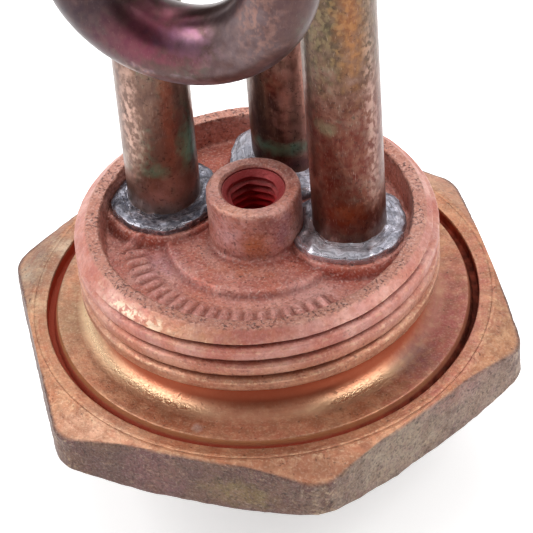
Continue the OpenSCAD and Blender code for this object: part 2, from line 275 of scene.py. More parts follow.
def turned_mesh(name, radius, height, centre, poles):
    """Mesh from rings of radius and height arrays round a centre, in millimetres.

    With poles, (low, high) heights, the first and last ring close on the axis. Without, the last ring joins
    the first.
    """
    rings, sides = radius.shape
    angle = np.arange(sides) * math.tau / sides
    points = np.stack([centre[0] + radius * np.cos(angle), centre[1] + radius * np.sin(angle), height], 2)
    points = points.reshape(-1, 3)
    index = np.arange(rings * sides).reshape(rings, sides)
    turned = np.roll(index, -1, 1)
    loops = rings - 1 if poles else rings
    following = np.roll(index, -1, 0)
    following_turned = np.roll(turned, -1, 0)
    quads = np.stack([index, turned, following_turned, following], 2)[:loops].reshape(-1, 4)
    faces = quads.tolist()
    if poles:
        tips = [[centre[0], centre[1], z] for z in poles]
        points = np.vstack([points, tips])
        first = rings * sides
        faces += [[first, b, a] for a, b in zip(index[0], turned[0])]
        faces += [[first + 1, a, b] for a, b in zip(index[-1], turned[-1])]
    mesh = bpy.data.meshes.new(name)
    mesh.from_pydata((points * MM).tolist(), [], faces)
    mesh.update()
    return outward(mesh)


def outward(mesh):
    """Turns a closed mesh so that its faces point outwards."""
    work = bmesh.new()
    work.from_mesh(mesh)
    if work.calc_volume(signed=True) < 0:
        bmesh.ops.reverse_faces(work, faces=work.faces)
        work.to_mesh(mesh)
    work.free()
    mesh.update()
    return mesh


def read(items, key, width):
    """Values of a mesh's elements as an array."""
    kind = np.int32 if key == "vertices" else np.float32
    values = np.empty(len(items) * width, kind)
    items.foreach_get(key, values)
    return values.reshape(-1, width)


def store(mesh, name, values):
    """Stores a number at each point of a mesh for its material."""
    field = mesh.attributes.new(name, "FLOAT", "POINT")
    field.data.foreach_set("value", np.asarray(values, np.float32))


def lumps(points, size, seed):
    """Smooth noise from about -1 to 1 at each point, with lumps of a size in millimetres."""
    shift = Vector((seed * 17.3, seed * 7.1, seed * 3.7))
    return np.array([noise.noise(Vector(p) / size + shift) for p in points])


def mark_edges(mesh):
    """Stores where the surface is an edge and where it is a crevice, from 0 to 1."""
    points = read(mesh.vertices, "co", 3)
    normals = read(mesh.vertex_normals, "vector", 3)
    pairs = read(mesh.edges, "vertices", 2)
    total = np.zeros_like(points)
    number = np.zeros(len(points))
    reach = np.zeros(len(points))
    span = np.linalg.norm(points[pairs[:, 0]] - points[pairs[:, 1]], axis=1)
    for here, there in ((0, 1), (1, 0)):
        np.add.at(total, pairs[:, here], points[pairs[:, there]])
        np.add.at(number, pairs[:, here], 1)
        np.add.at(reach, pairs[:, here], span)
    number = np.maximum(number, 1)
    bulge = ((points - total / number[:, None]) * normals).sum(1) / np.maximum(reach / number, 1e-9)
    store(mesh, "edge", np.clip(bulge * 5, 0, 1))
    store(mesh, "crevice", np.clip(-bulge * 5, 0, 1))


def baked(source):
    """Plain mesh of an object with its modifiers applied."""
    graph = bpy.context.evaluated_depsgraph_get()
    return bpy.data.meshes.new_from_object(source.evaluated_get(graph), depsgraph=graph)


def piece(name, mesh, material, slot, *nodes):
    """Object for a mesh, which takes the place of its nodes on the part."""
    mesh.materials.clear()
    mesh.materials.append(material)
    made = bpy.data.objects.new(name, mesh)
    bpy.context.scene.collection.objects.link(made)
    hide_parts(*nodes)
    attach(made, "root")
    return made


def thread_cut(height, angle, pitch, depth, valley):
    """Depth of a right-handed thread's cut at a height and angle: full in the valley, none on the crest."""
    root_share, flank_share = 0.03, 0.55
    phase = (height - valley) / pitch - angle / math.tau
    from_valley = 2 * np.abs(phase - np.round(phase))
    return depth * (1 - np.clip((from_valley - root_share) / flank_share, 0, 1)) ** 1.5


def cast_marks(x, y, s):
    """Row of plain bars on the front of the floor: the share of a bar and of the row at each point."""
    reach = np.hypot(x, y)
    first, last, count = math.radians(-160), math.radians(-40), 21
    turn = np.arctan2(y, x)
    step = (last - first) / (count - 1)
    nearest = first + step * np.clip(np.round((turn - first) / step), 0, count - 1)
    aside = np.abs(turn - nearest) * reach
    middle = (s.hub_r + s.rim_inner) / 2
    row = 1 - ease(np.abs(reach - middle), s.mark_len / 2 - 0.6, s.mark_len / 2 + 0.4)
    return row * (1 - ease(aside, 0, s.mark_w * 0.8)), row * (np.abs(turn - nearest) < step)


def wet_floor(x, y, s):
    """Height of the cast floor inside the rim: hub, tube pads and plain marks."""
    reach = np.hypot(x, y)
    height = s.floor_z + s.hub_rise * (1 - ease(reach, s.hub_r - 0.1, s.hub_r + 0.6))
    for place in (LEG_LEFT, LEG_RIGHT, POCKET):
        away = np.hypot(x - place[0], y - place[1])
        pad = s.floor_z + s.pad_rise * (1 - ease(away, s.pad_r - 0.2, s.pad_r + 0.6))
        height = np.maximum(height, pad)
    return height + s.mark_rise * cast_marks(x, y, s)[0]


def plug_sizes(group):
    """Sizes of the plug in millimetres, with those that follow from them."""
    s = in_mm(group)
    s.rim_outer = s.thread_r - s.rim_chamfer
    s.rim_inner = s.rim_outer - s.rim_flat
    s.floor_r = s.rim_inner - s.wall_lean
    s.flat_r = s.flats / 2
    # The turned seat ends just inside the flats
    s.seat_r = s.flat_r - 0.25
    s.hub_z = s.floor_z + s.hub_rise
    s.pad_z = s.floor_z + s.pad_rise
    s.dish_z = s.dish_depth - s.hex_h
    s.hole_z = s.boss_z - s.anode_depth
    # The tap stops short of the hole's end
    s.tapped_z = s.hole_z + 4
    return s


def upper_profile(s):
    """Profile of the wet side, from the tapped hole over the rim and the thread to the seat."""
    sink_z = s.boss_z - (s.sink_r - s.anode_r)
    return rounded([
        # Tapped hole, and a countersink with a turned step
        (s.anode_r, s.hole_z, 0, 1),
        (s.anode_r, s.tapped_z, 0, 1.4),
        (s.anode_r, sink_z, 0.1, 0.17),
        (s.sink_r - 0.42, s.boss_z - 0.42, 0, 0.14),
        (s.sink_r - 0.25, s.boss_z - 0.45, 0, 0.2),
        (s.sink_r - 0.28, s.boss_z - 0.28, 0, 0.2),
        (s.sink_r, s.boss_z, 0.15, 0.2),
        # Boss, floor and rim
        (s.boss_r, s.boss_z, 0.5, 0.4),
        (s.boss_r, s.hub_z, s.boss_fillet, 0.5),
        (s.floor_r, s.floor_z, 0.5, 0.31),
        (s.rim_inner, s.rim_z, 0.3, 0.4),
        (s.rim_outer, s.rim_z, 0.25, 0.4),
        # Thread and relief
        (s.thread_r, s.rim_z - s.rim_chamfer, 0.1, 0.14),
        (s.thread_r, s.thread_z, 0.12, 0.14),
        (s.relief_r, s.thread_z - (s.thread_r - s.relief_r) / 2, 0.15, 0.3),
        (s.relief_r, 0, s.relief_fillet, 0.4),
        # Gasket land and groove
        (s.land_r, 0, 0.15, 0.45),
        (s.groove_r - s.groove_flat, -s.groove_depth, 0.12, 0.16),
        (s.groove_r, -s.groove_depth, 0.15, 0.35),
        (s.groove_r, 0, 0.15, 0.4),
        # Seat with its scribed line
        (s.seat_r - 0.3, 0, 0, 0.35),
        (s.seat_r - 0.2, -0.05, 0, 1),
        (s.seat_r - 0.1, 0, 0, 1),
        (s.seat_r, 0, 0, 1),
    ])


def lower_profile(s):
    """Profile of the dry side, from its edge into its hollow."""
    return rounded([
        (s.seat_r, -s.hex_h, 0, 1),
        (s.dish_r, -s.hex_h, 0.3, 1.6),
        (s.dish_r, s.dish_z, 0.6, 1),
        (0.8, s.dish_z, 0, 2.4),
    ])


def threaded(radius, height, angle, s):
    """Radii of the upper profile, with the pipe thread and the anode thread cut."""
    outside = (radius > s.rim_outer) & (height > s.thread_z - 1.5) & (height < s.rim_z)
    # The pipe thread is worn shallow on the left
    worn = 1 - 0.55 * np.exp(-((angle - math.radians(202)) / 0.4) ** 2)
    cut = thread_cut(height, angle, s.pitch, s.thread_depth * worn, s.valley_z)
    radius = np.where(outside, np.minimum(radius, np.maximum(s.thread_r - cut, s.relief_r)), radius)
    # The anode thread runs out on the countersink
    tap_depth, tap_valley = 0.5, 0.3
    tapped = (radius < s.anode_r + tap_depth) & (height > s.tapped_z) & (height < s.boss_z)
    inner_cut = thread_cut(height, angle, s.anode_pitch, tap_depth, tap_valley)
    return np.where(tapped, np.maximum(radius, s.anode_r + tap_depth - inner_cut), radius)


def floor_raised(radius, height, angle, s):
    """Heights of the upper profile, with the hub, the pads and the marks raised on its floor.

    The rise fades out up the side of the boss and up the wall.
    """
    recess = (radius > s.boss_r - 0.01) & (radius < s.rim_inner + 0.02)
    recess = recess & (height > s.floor_z - 1) & (height < s.rim_z)
    plain = s.hub_z + (s.floor_z - s.hub_z) * (radius - s.boss_r) / (s.floor_r - s.boss_r)
    raised = wet_floor(radius * np.cos(angle), radius * np.sin(angle), s) - plain
    hold = np.where(radius < s.boss_r + 0.9, np.clip((s.hub_z + 1.8 - height) / 1.8, 0, 1), 1)
    hold = np.where(radius > s.floor_r - 0.5, np.clip((s.rim_z - 0.2 - height) / 3.3, 0, 1), hold)
    return height + np.where(recess, raised * hold, 0)


def hex_rings(angle, s):
    """Radii and heights of the hex, with turned corners, a chamfer on both faces and softened edges."""
    # Fall of the chamfers, which are turned at 24 degrees
    drop = math.tan(math.radians(24))
    blunt, top_edge, low_edge = 0.15, 0.12, 0.4
    local = angle % (math.pi / 3) - math.pi / 6
    side_r = -blunt * np.log(np.exp(-s.flat_r / np.cos(local) / blunt) + np.exp(-s.corner_r / blunt))
    radii = []
    heights = []
    # Upper face with its chamfer
    for t in np.linspace(0.15, 1, 7):
        ring = s.seat_r + t * (side_r - top_edge - s.seat_r)
        radii.append(ring)
        heights.append(-np.maximum(0, ring - s.flat_r) * drop)
    # Softened upper edge
    top_z = heights[-1]
    for turn in np.radians([30, 60, 90]):
        radii.append(side_r - top_edge * (1 - math.sin(turn)))
        heights.append(top_z - top_edge * (1 - math.cos(turn)))
    # Flats and corners
    low_z = np.maximum(0, side_r - low_edge - s.flat_r) * drop - s.hex_h
    for t in np.linspace(0, 1, 14)[1:]:
        radii.append(side_r)
        heights.append(top_z - top_edge + t * (low_z + low_edge - top_z + top_edge))
    # Softened lower edge
    for turn in np.radians([30, 60, 90]):
        radii.append(side_r - low_edge * (1 - math.cos(turn)))
        heights.append(low_z + low_edge * (1 - math.sin(turn)))
    # Lower face with its chamfer
    for t in np.linspace(0, 1, 5)[1:-1]:
        ring = side_r - low_edge + t * (s.seat_r - side_r + low_edge)
        radii.append(ring)
        heights.append(np.maximum(0, ring - s.flat_r) * drop - s.hex_h)
    return radii, heights


def plug_mesh(s):
    """The brass plug: tapped boss, cast wet face, rim, thread, relief, grooved seat, hex and hollow."""
    angle = np.arange(PLUG_SIDES) * math.tau / PLUG_SIDES
    ones = np.ones(PLUG_SIDES)
    upper = upper_profile(s)
    lower = lower_profile(s)
    height = np.outer([p.y for p in upper], ones)
    radius = threaded(np.outer([p.x for p in upper], ones), height, angle, s)
    height = floor_raised(radius, height, angle, s)
    hex_radii, hex_heights = hex_rings(angle, s)
    radius = np.vstack([radius, hex_radii, np.outer([p.x for p in lower], ones)])
    height = np.vstack([height, hex_heights, np.outer([p.y for p in lower], ones)])
    # The hole ends in the cone of a 118 degree drill
    drill_tip = s.hole_z - s.anode_r / math.tan(math.radians(118 / 2))
    mesh = turned_mesh("plug_body", radius, height, (0, 0), (drill_tip, s.dish_z))
    roughen_plug(mesh, s)
    return mesh


def plug_zones(points, s):
    """Shares of the plug's surfaces at each point, from 0 to 1, by name."""
    x, y, z = points.T
    reach = np.hypot(x, y)
    turn = np.degrees(np.arctan2(y, x))
    zones = {}

    # Casting skin of the hex sides and of the dry side
    across = np.max([x * math.cos(a) + y * math.sin(a) for a in np.radians(range(30, 390, 60))], 0)
    flats = ease(across, s.flat_r - 0.32, s.flat_r - 0.12)
    sides = np.maximum(flats, ease(reach, s.corner_r - 0.5, s.corner_r - 0.2))
    dry = ease(-z, s.hex_h - 1.2, s.hex_h - 0.2) + ease(-z, 1.3, 1.45) * (reach < s.dish_r + 0.3)
    zones["cast"] = np.clip(sides * ease(-z, 0.12, 0.35) + dry, 0, 1)

    # Red oxide of the wet side, which thins out down the thread
    neck = 1 - ease(reach, s.thread_r + 0.05, s.thread_r + 0.4)
    oxide = neck * (0.25 * ease(z, 3.6, 4.4) + 0.75 * ease(z, 5.2, 10.5))
    zones["wet"] = np.maximum(oxide, (reach < s.floor_r + 0.2) * (z > 2))

    # Groove with its leaning inner wall, the relief under the thread and the swept fillet at its foot
    in_groove = (reach > s.land_r + 0.02) * (reach < s.groove_r + 0.03)
    outer_wall = (reach > s.groove_r - 0.1) * ease(-z, 0.1, 0.5)
    zones["groove"] = in_groove * np.maximum(ease(-z, 0.5, 0.8), outer_wall)
    leaning = (reach < s.groove_r - s.groove_flat) * ease(-z, 0.02, 0.15)
    zones["slope"] = in_groove * leaning * (1 - zones["groove"])
    under = neck * (z > 0) * (z < s.thread_z) * ease(-reach, -s.relief_r - 1.6, -s.relief_r - 1.1)
    zones["under"] = under * ease(z, 0.35, 0.8)
    sweep_r = s.relief_r + s.relief_fillet
    sweep = ease(-reach, -sweep_r - 0.4, -sweep_r + 0.7) * (reach > s.relief_r - 0.2)
    zones["sweep"] = sweep * (z > -0.1) * (1 - ease(z, 0.3, 0.75))
    zones["scribed"] = (np.abs(reach - s.flat_r + 0.45) < 0.06) * (np.abs(z) < 0.2)

    # Thread valleys, tapped hole, recess wall and rim
    thread = neck * (reach > s.rim_outer - 0.4) * ease(z, s.thread_z - 1, s.thread_z)
    zones["valley"] = thread * ease(s.thread_r - reach, 0.35, 0.95) * (z < s.rim_z - s.rim_chamfer)
    zones["hole"] = (reach < s.sink_r - 0.05) * ease(s.boss_z - z, 0.05, 0.5) * (z > 2)
    zones["deep"] = (reach < s.sink_r) * ease(s.boss_z - z, 1.6, 5) * (z > 2)
    wall = (reach > s.floor_r - 0.25) * (reach < s.rim_inner + 0.12)
    zones["wall"] = wall * (z > s.floor_z) * (z < s.rim_z - 0.1)
    rim = ease(reach, s.rim_inner - 0.15, s.rim_inner + 0.1)
    zones["rim"] = rim * (1 - ease(reach, s.rim_outer, s.rim_outer + 0.25)) * (z > s.rim_z - 0.5)

    # Feet of the boss, the hub and the pads, darkened with painted shade where they meet the floor and with
    # the deepest oxide
    foot = np.exp(-((reach - s.boss_r - 0.5) / 0.6) ** 2)
    foot = foot + 0.6 * np.exp(-((reach - s.hub_r - 0.5) / 0.5) ** 2)
    for place in (LEG_LEFT, LEG_RIGHT, POCKET):
        away = np.hypot(x - place[0], y - place[1])
        foot = foot + np.exp(-((away - s.pad_r - 0.45) / 0.55) ** 2)
    low = (reach < s.floor_r) * (z > s.floor_z - 1)
    zones["foot"] = np.clip(foot, 0, 1) * low * (z < s.floor_z + s.pad_rise + 0.6)

    # Plain marks on the floor, and the floor between them
    bar, row = cast_marks(x, y, s)
    on_floor = low * (z < s.floor_z + s.pad_rise)
    zones["bar"] = bar * on_floor
    zones["between"] = on_floor * np.clip(row - 1.4 * bar, 0, 1)

    # Front and right of the seat, where the oxide is heavier and duller, and where the painted highlight on
    # the fillet is left off
    from_front = np.abs(turn + 73)
    from_right = np.abs((turn + 115) % 360 - 180)
    dull = np.maximum(1 - ease(from_front, 8, 26), 1 - ease(from_right, 77, 99))
    dull = dull * (reach > s.relief_r - 0.2) * (reach < s.land_r + 0.1)
    zones["dull"] = dull * (z < s.thread_z - 0.5)

    # Edges of the rim, the thread and the hex, which wear bright
    lip = np.exp(-((z - s.rim_z + 0.65 * s.rim_chamfer) / 0.5) ** 2)
    zones["lip"] = lip * (reach > s.rim_outer) * (reach < s.thread_r + 0.3)
    zones["bare"] = (reach > s.rim_outer - 0.1) * (z > -s.hex_h + 1) * (1 - zones["valley"])
    return zones


def roughen_plug(mesh, s):
    """Gives the cast skin, the floor, the rim and the thread crests their small unevenness."""
    points = read(mesh.vertices, "co", 3) / MM
    normals = read(mesh.vertex_normals, "vector", 3)
    zones = plug_zones(points, s)
    coarse = lumps(points, 1.2, 1)
    fine = lumps(points, 0.5, 2)
    broad = lumps(points, 4.5, 3)
    reach = np.hypot(points[:, 0], points[:, 1])
    height = points[:, 2]
    floor = (reach > s.boss_r - 0.1) * (reach < s.rim_inner) * (height > s.floor_z - 1)
    crest = (reach > s.rim_outer - 0.3) * (reach < s.thread_r + 0.1) * (height > s.thread_z - 0.4)
    rough = 0.004 + 0.07 * zones["cast"] + 0.04 * floor + 0.06 * zones["wall"]
    rough = (rough + 0.05 * zones["rim"] + 0.03 * crest) * (1 - zones["hole"])
    push = rough * (coarse + 0.8 * fine) + 0.07 * floor * broad
    points = points + normals * push[:, None]
    mesh.vertices.foreach_set("co", (points * MM).astype(np.float32).ravel())
    mesh.update()


def drilled(mesh, holes):
    """Copy of a mesh with upright holes cut, each (place, radius, low, high) in millimetres."""
    work = bmesh.new()
    for place, radius, low, high in holes:
        at = Matrix.Translation(Vector((place[0], place[1], (low + high) / 2)) * MM)
        bmesh.ops.create_cone(
            work, cap_ends=True, segments=96, radius1=radius * MM, radius2=radius * MM,
            depth=(high - low) * MM, matrix=at)
    cutter_mesh = bpy.data.meshes.new("drill")
    work.to_mesh(cutter_mesh)
    work.free()
    blank = bpy.data.objects.new("blank", mesh)
    cutter = bpy.data.objects.new("drill", cutter_mesh)
    for made in (blank, cutter):
        bpy.context.scene.collection.objects.link(made)
    cut = blank.modifiers.new("Holes", "BOOLEAN")
    cut.operation = "DIFFERENCE"
    cut.solver = "MANIFOLD"
    cut.object = cutter
    result = baked(blank)
    for made in (blank, cutter):
        bpy.data.objects.remove(made)
    return result


def smooth(mesh, degrees):
    """Shades a mesh smooth apart from edges sharper than an angle."""
    mesh.shade_smooth()
    mesh.set_sharp_from_angle(angle=math.radians(degrees))
    return mesh


def tube_path(s, low_z):
    """Points along the folded element from a height, in millimetres, its front loop swung to the left."""
    fold_r = (LEG_LEFT[1] - FRONT_Y) / 2
    fold_z = SHEATH_HIGH.z / MM - s.tube_d / 2 - fold_r
    bend_r = (LEG_RIGHT[0] - LEG_LEFT[0]) / 2
    bend_x = (LEG_RIGHT[0] + LEG_LEFT[0]) / 2
    bend_z = s.bend_low + s.tube_d / 2 + bend_r
    half = [Vector((LEG_LEFT[0], LEG_LEFT[1], z)) for z in np.linspace(low_z, fold_z, 60)]
    for turn in np.linspace(0, math.pi, 25)[1:]:
        y = LEG_LEFT[1] - fold_r + fold_r * math.cos(turn)
        half.append(Vector((LEG_LEFT[0], y, fold_z + fold_r * math.sin(turn))))
    half += [Vector((LEG_LEFT[0], FRONT_Y, z)) for z in np.linspace(fold_z, bend_z, 50)[1:]]
    for turn in np.linspace(0, math.pi / 2, 25)[1:]:
        half.append(Vector((bend_x - bend_r * math.cos(turn), FRONT_Y, bend_z - bend_r * math.sin(turn))))
    other = [Vector((2 * bend_x - p.x, p.y, p.z)) for p in reversed(half[:-1])]
    for p in half + other:
        front = ease(LEG_LEFT[1] - p.y, 0, 2 * fold_r)
        p.x -= s.swing * front * float(np.clip((fold_z - p.z) / (fold_z - s.bend_low), 0, 1))
    return half + other


def sweep_tree():
    """Geometry nodes that sweep a round tube along a path."""
    tree = bpy.data.node_groups.new("Tube along a path", "GeometryNodeTree")
    face = tree.interface
    face.new_socket("Path", in_out="INPUT", socket_type="NodeSocketGeometry")
    sockets = {}
    for name, kind in (("Radius", "Float"), ("Sides", "Int"), ("Finish", "Material")):
        made = face.new_socket(name, in_out="INPUT", socket_type="NodeSocket" + kind)
        sockets[name] = made.identifier
    face.new_socket("Tube", in_out="OUTPUT", socket_type="NodeSocketGeometry")
    given = add(tree, "NodeGroupInput")
    ring = add(tree, "GeometryNodeCurvePrimitiveCircle", {
        "Resolution": given.outputs["Sides"], "Radius": given.outputs["Radius"]})
    skin = add(tree, "GeometryNodeCurveToMesh", {
        "Curve": given.outputs["Path"], "Profile Curve": ring.outputs["Curve"]})
    soft = add(tree, "GeometryNodeSetShadeSmooth", {"Geometry": skin.outputs["Mesh"]})
    real = add(tree, "GeometryNodeRealizeInstances", {"Geometry": soft.outputs["Geometry"]})
    finish = add(tree, "GeometryNodeSetMaterial", {
        "Geometry": real.outputs["Geometry"], "Material": given.outputs["Finish"]})
    add(tree, "NodeGroupOutput", {"Tube": finish.outputs["Geometry"]})
    return tree, sockets


def swept_tube(points, radius, wall, material):
    """Mesh of an open-ended tube with a wall, swept along points in millimetres."""
    path = bpy.data.curves.new("path", "CURVE")
    path.dimensions = "3D"
    line = path.splines.new("POLY")
    line.points.add(len(points) - 1)
    for point, place in zip(line.points, points):
        point.co = (*(place * MM), 1)
    carrier = bpy.data.objects.new("path", path)
    bpy.context.scene.collection.objects.link(carrier)
    tree, sockets = sweep_tree()
    sweep = carrier.modifiers.new("Sweep", "NODES")
    sweep.node_group = tree
    sweep[sockets["Radius"]] = radius * MM
    sweep[sockets["Sides"]] = TUBE_SIDES
    sweep[sockets["Finish"]] = material
    skin = baked(carrier)
    bpy.data.objects.remove(carrier)
    shell = bpy.data.objects.new("shell", skin)
    bpy.context.scene.collection.objects.link(shell)
    thick = shell.modifiers.new("Wall", "SOLIDIFY")
    thick.thickness = wall * MM
    thick.offset = -1
    mesh = outward(baked(shell))
    bpy.data.objects.remove(shell)
    return mesh


def solder_mesh(name, place, seed, climb, bank, s, plug):
    """Lumpy solder ring that climbs its tube and banks up towards -X, stopped by the boss and the wall."""
    angle = np.arange(SOLDER_SIDES) * math.tau / SOLDER_SIDES
    away = np.stack([np.cos(angle), np.sin(angle)], 1)
    pad_z = plug.pad_z
    tube_r = s.tube_d / 2
    loops = np.column_stack([away * 3, np.zeros(SOLDER_SIDES)])
    heap = bank * np.clip(-away[:, 0], 0, 1) ** 2
    # Uneven outer edge, pulled in where the boss or the wall stops it
    outer = s.solder_r + 0.4 * lumps(loops, 1.7, seed) + 0.25 * lumps(loops, 0.6, seed + 1) + 0.35 * heap
    reach = np.empty(SOLDER_SIDES)
    for i in range(SOLDER_SIDES):
        tries = np.linspace(outer[i], tube_r + 0.15, 80)
        spots = np.array(place) + tries[:, None] * away[i]
        distance = np.linalg.norm(spots, axis=1)
        fits = (distance > plug.boss_r + 0.08) & (distance < plug.floor_r + 0.02)
        reach[i] = tries[np.argmax(fits)] if fits.any() else tries[-1]
    radii = []
    heights = []
    shares = np.concatenate([np.linspace(0, 0.7, 9), np.linspace(0.7, 1, 8)[1:]])
    for share in shares:
        ring = tube_r - 0.02 + share * (reach - tube_r + 0.02)
        crown = 0.92 + 0.25 * share * (1 - share) - 0.75 * max(0, share - 0.55) ** 1.6
        spots = np.column_stack([place[0] + ring * away[:, 0], place[1] + ring * away[:, 1], 0 * ring])
        bumps = 0.26 * lumps(spots, 1.4, seed + 2) + 0.1 * lumps(spots, 0.5, seed + 3)
        radii.append(ring)
        piled = s.solder_rise * crown + climb * (1 - share) ** 1.5 + heap * (1 - 0.25 * share)
        heights.append(pad_z + piled + bumps * (1 - share ** 6))
    lip = heights[-1]
    for drop in (0.35, 0.7, 1.0):
        radii.append(reach + 0.1 * math.sin(drop * 3))
        heights.append(lip + drop * (pad_z - 0.02 - lip))
    radii.append(np.full(SOLDER_SIDES, tube_r - 0.02))
    heights.append(np.full(SOLDER_SIDES, pad_z - 0.02))
    mesh = turned_mesh(name, np.array(radii), np.array(heights), place, None)
    mark_edges(mesh)
    return smooth(mesh, 60)


def softened(node, width):
    """Copy of a CAD piece with merged corners and its edges softened by a small bevel, in millimetres."""
    work = bmesh.new()
    work.from_mesh(frame["nodes"][node].data)
    bmesh.ops.remove_doubles(work, verts=work.verts, dist=1e-6)
    bmesh.ops.dissolve_limit(work, angle_limit=math.radians(1), verts=work.verts, edges=work.edges)
    mesh = bpy.data.meshes.new(node)
    work.to_mesh(mesh)
    work.free()
    blank = bpy.data.objects.new("blank", mesh)
    bpy.context.scene.collection.objects.link(blank)
    bevel = blank.modifiers.new("Edges", "BEVEL")
    bevel.width = width * MM
    bevel.segments = 2
    bevel.limit_method = "ANGLE"
    bevel.angle_limit = math.radians(40)
    result = baked(blank)
    bpy.data.objects.remove(blank)
    return smooth(result, 35)


# Finishes

def finish_base(name):
    """New material with its node tree, its shader and the piece's own coordinates in millimetres."""
    material = bpy.data.materials.new(name)
    material.use_nodes = True
    tree = material.node_tree
    shader = tree.nodes["Principled BSDF"]
    spot = add(tree, "ShaderNodeTexCoord").outputs["Object"]
    place = add(tree, "ShaderNodeVectorMath", {0: spot, "Scale": 1 / MM}, operation="SCALE").outputs[0]
    return material, tree, shader, place


def grain(tree, place, size, low, high, stretch=(1, 1, 1), detail=3.0):
    """Mask of soft noise with grains of a size in millimetres, from 0 below low to 1 above high."""
    laid = add(tree, "ShaderNodeMapping", {"Vector": place, "Scale": [1 / (size * k) for k in stretch]})
    cloud = add(tree, "ShaderNodeTexNoise", {"Vector": laid.outputs[0], "Scale": 1.0, "Detail": detail})
    limits = {"Value": cloud.outputs["Fac"], "From Min": low, "From Max": high}
    return add(tree, "ShaderNodeMapRange", limits).outputs[0]


def ragged_edge(tree, place):
    """Noise that tears the edges of patches."""
    return grain(tree, place, 1.3, 0.25, 0.75)


def patch(tree, place, ragged, centre, radii):
    """Mask of a patch with a ragged edge, its centre and radii in millimetres."""
    laid = add(tree, "ShaderNodeVectorMath", {0: place, 1: centre}, operation="SUBTRACT").outputs[0]
    scaled = add(tree, "ShaderNodeVectorMath", {0: laid, 1: radii}, operation="DIVIDE").outputs[0]
    away = add(tree, "ShaderNodeVectorMath", {0: scaled}, operation="LENGTH").outputs["Value"]
    torn = add(tree, "ShaderNodeMath", {0: ragged, 1: 0.9, 2: away}, operation="MULTIPLY_ADD").outputs[0]
    return add(tree, "ShaderNodeMapRange", {"Value": torn, "From Min": 1.6, "From Max": 0.7}).outputs[0]


def patch_coats(tree, place, ragged, spots):
    """Coats for patches, each (centre, radii, colour code, strength)."""
    return [(patch(tree, place, ragged, centre, radii), code, strength)
            for centre, radii, code, strength in spots]


def overlap(tree, first, *others):
    """Mask where several masks meet."""
    shared = first
    for mask in others:
        shared = add(tree, "ShaderNodeMath", {0: shared, 1: mask}, operation="MULTIPLY").outputs[0]
    return shared


def opaque(colour):
    """Colour for a socket, from a hex code, a property's colour or a node's output."""
    if isinstance(colour, bpy.types.NodeSocket):
        return colour
    return (*(linear(colour) if isinstance(colour, str) else colour), 1)


def coats(tree, start, layers):
    """Colour with coats laid over a start colour, each a (mask, colour, strength)."""
    below = opaque(start)
    for mask, over, strength in layers:
        share = add(tree, "ShaderNodeMath", {0: mask, 1: strength}, operation="MULTIPLY", use_clamp=True)
        mix = add(tree, "ShaderNodeMix", {0: share.outputs[0], 6: below, 7: opaque(over)}, data_type="RGBA")
        below = mix.outputs[2]
    return below


def levels(tree, start, layers):
    """Number with other numbers laid over it, each a (mask, value)."""
    below = start
    for mask, value in layers:
        below = add(tree, "ShaderNodeMix", {0: mask, 2: below, 3: value}, data_type="FLOAT").outputs[0]
    return below


def from_axis(tree, place, spot):
    """Distance from an upright line through a spot, in millimetres."""
    laid = add(tree, "ShaderNodeVectorMath", {0: place, 1: (*spot, 0)}, operation="SUBTRACT").outputs[0]
    flat = add(tree, "ShaderNodeVectorMath", {0: laid, 1: (1, 1, 0)}, operation="MULTIPLY").outputs[0]
    return add(tree, "ShaderNodeVectorMath", {0: flat}, operation="LENGTH").outputs["Value"]


# Stains and painted light, each (centre, radii, colour, strength), with places and radii in millimetres

WET_STAINS_AND_LIGHT = (
    # Front of the boss: pale, mauve left of its middle, orange beside that and grey on its right. The pale
    # coat over the whole front is painted light
    ((0, -5.2, 13), (6, 2.4, 4.4), "#DCA49A", 0.75),
    ((-1.7, -5.2, 12.9), (2.6, 1.8, 2.6), "#E8C0C2", 0.85),
    ((1.7, -5.1, 12.3), (1.9, 1.6, 2.2), "#C87E52", 0.85),
    ((4.3, -3.2, 13), (1.5, 2, 3), "#A4707A", 0.75),
    # Foot of the boss, then the floor in front, left, right and at the back
    ((0.5, -6.6, 10), (5, 1.5, 0.8), "#BC6C48", 0.65),
    ((-1, -12.8, 9.2), (9, 2.2, 1.2), "#CC8876", 0.55),
    ((-8.9, -6.8, 9), (3, 3.4, 1.2), "#C08A90", 0.7),
    ((9.3, -8, 9), (4, 2.5, 1.2), "#DCA8A0", 0.8),
    ((-8, 11.5, 9), (7, 6, 1.5), "#A4503C", 0.8),
    # Fronts of the left and the right pad
    ((-11.6, -4.6, 9.8), (6, 1.4, 0.9), "#B4523A", 0.65),
    ((10.5, -4.8, 9.8), (6, 1.4, 0.9), "#AC4630", 0.75),
    # Golden front of the rim's chamfer
    ((-3, -20.5, 11.6), (7, 3, 1.6), "#CF9C78", 0.7),
    # Top of the boss: dark at the back, pale in front, and dark on its right edge
    ((0, 3, BOSS_Z), (6, 4, 1.4), "#8A4C40", 0.7),
    ((-0.5, -4.6, BOSS_Z), (4, 1.2, 0.8), "#D89E84", 0.6),
    ((2.6, -4.3, 15), (1.6, 1.4, 2), "#7A3E38", 0.6),
)
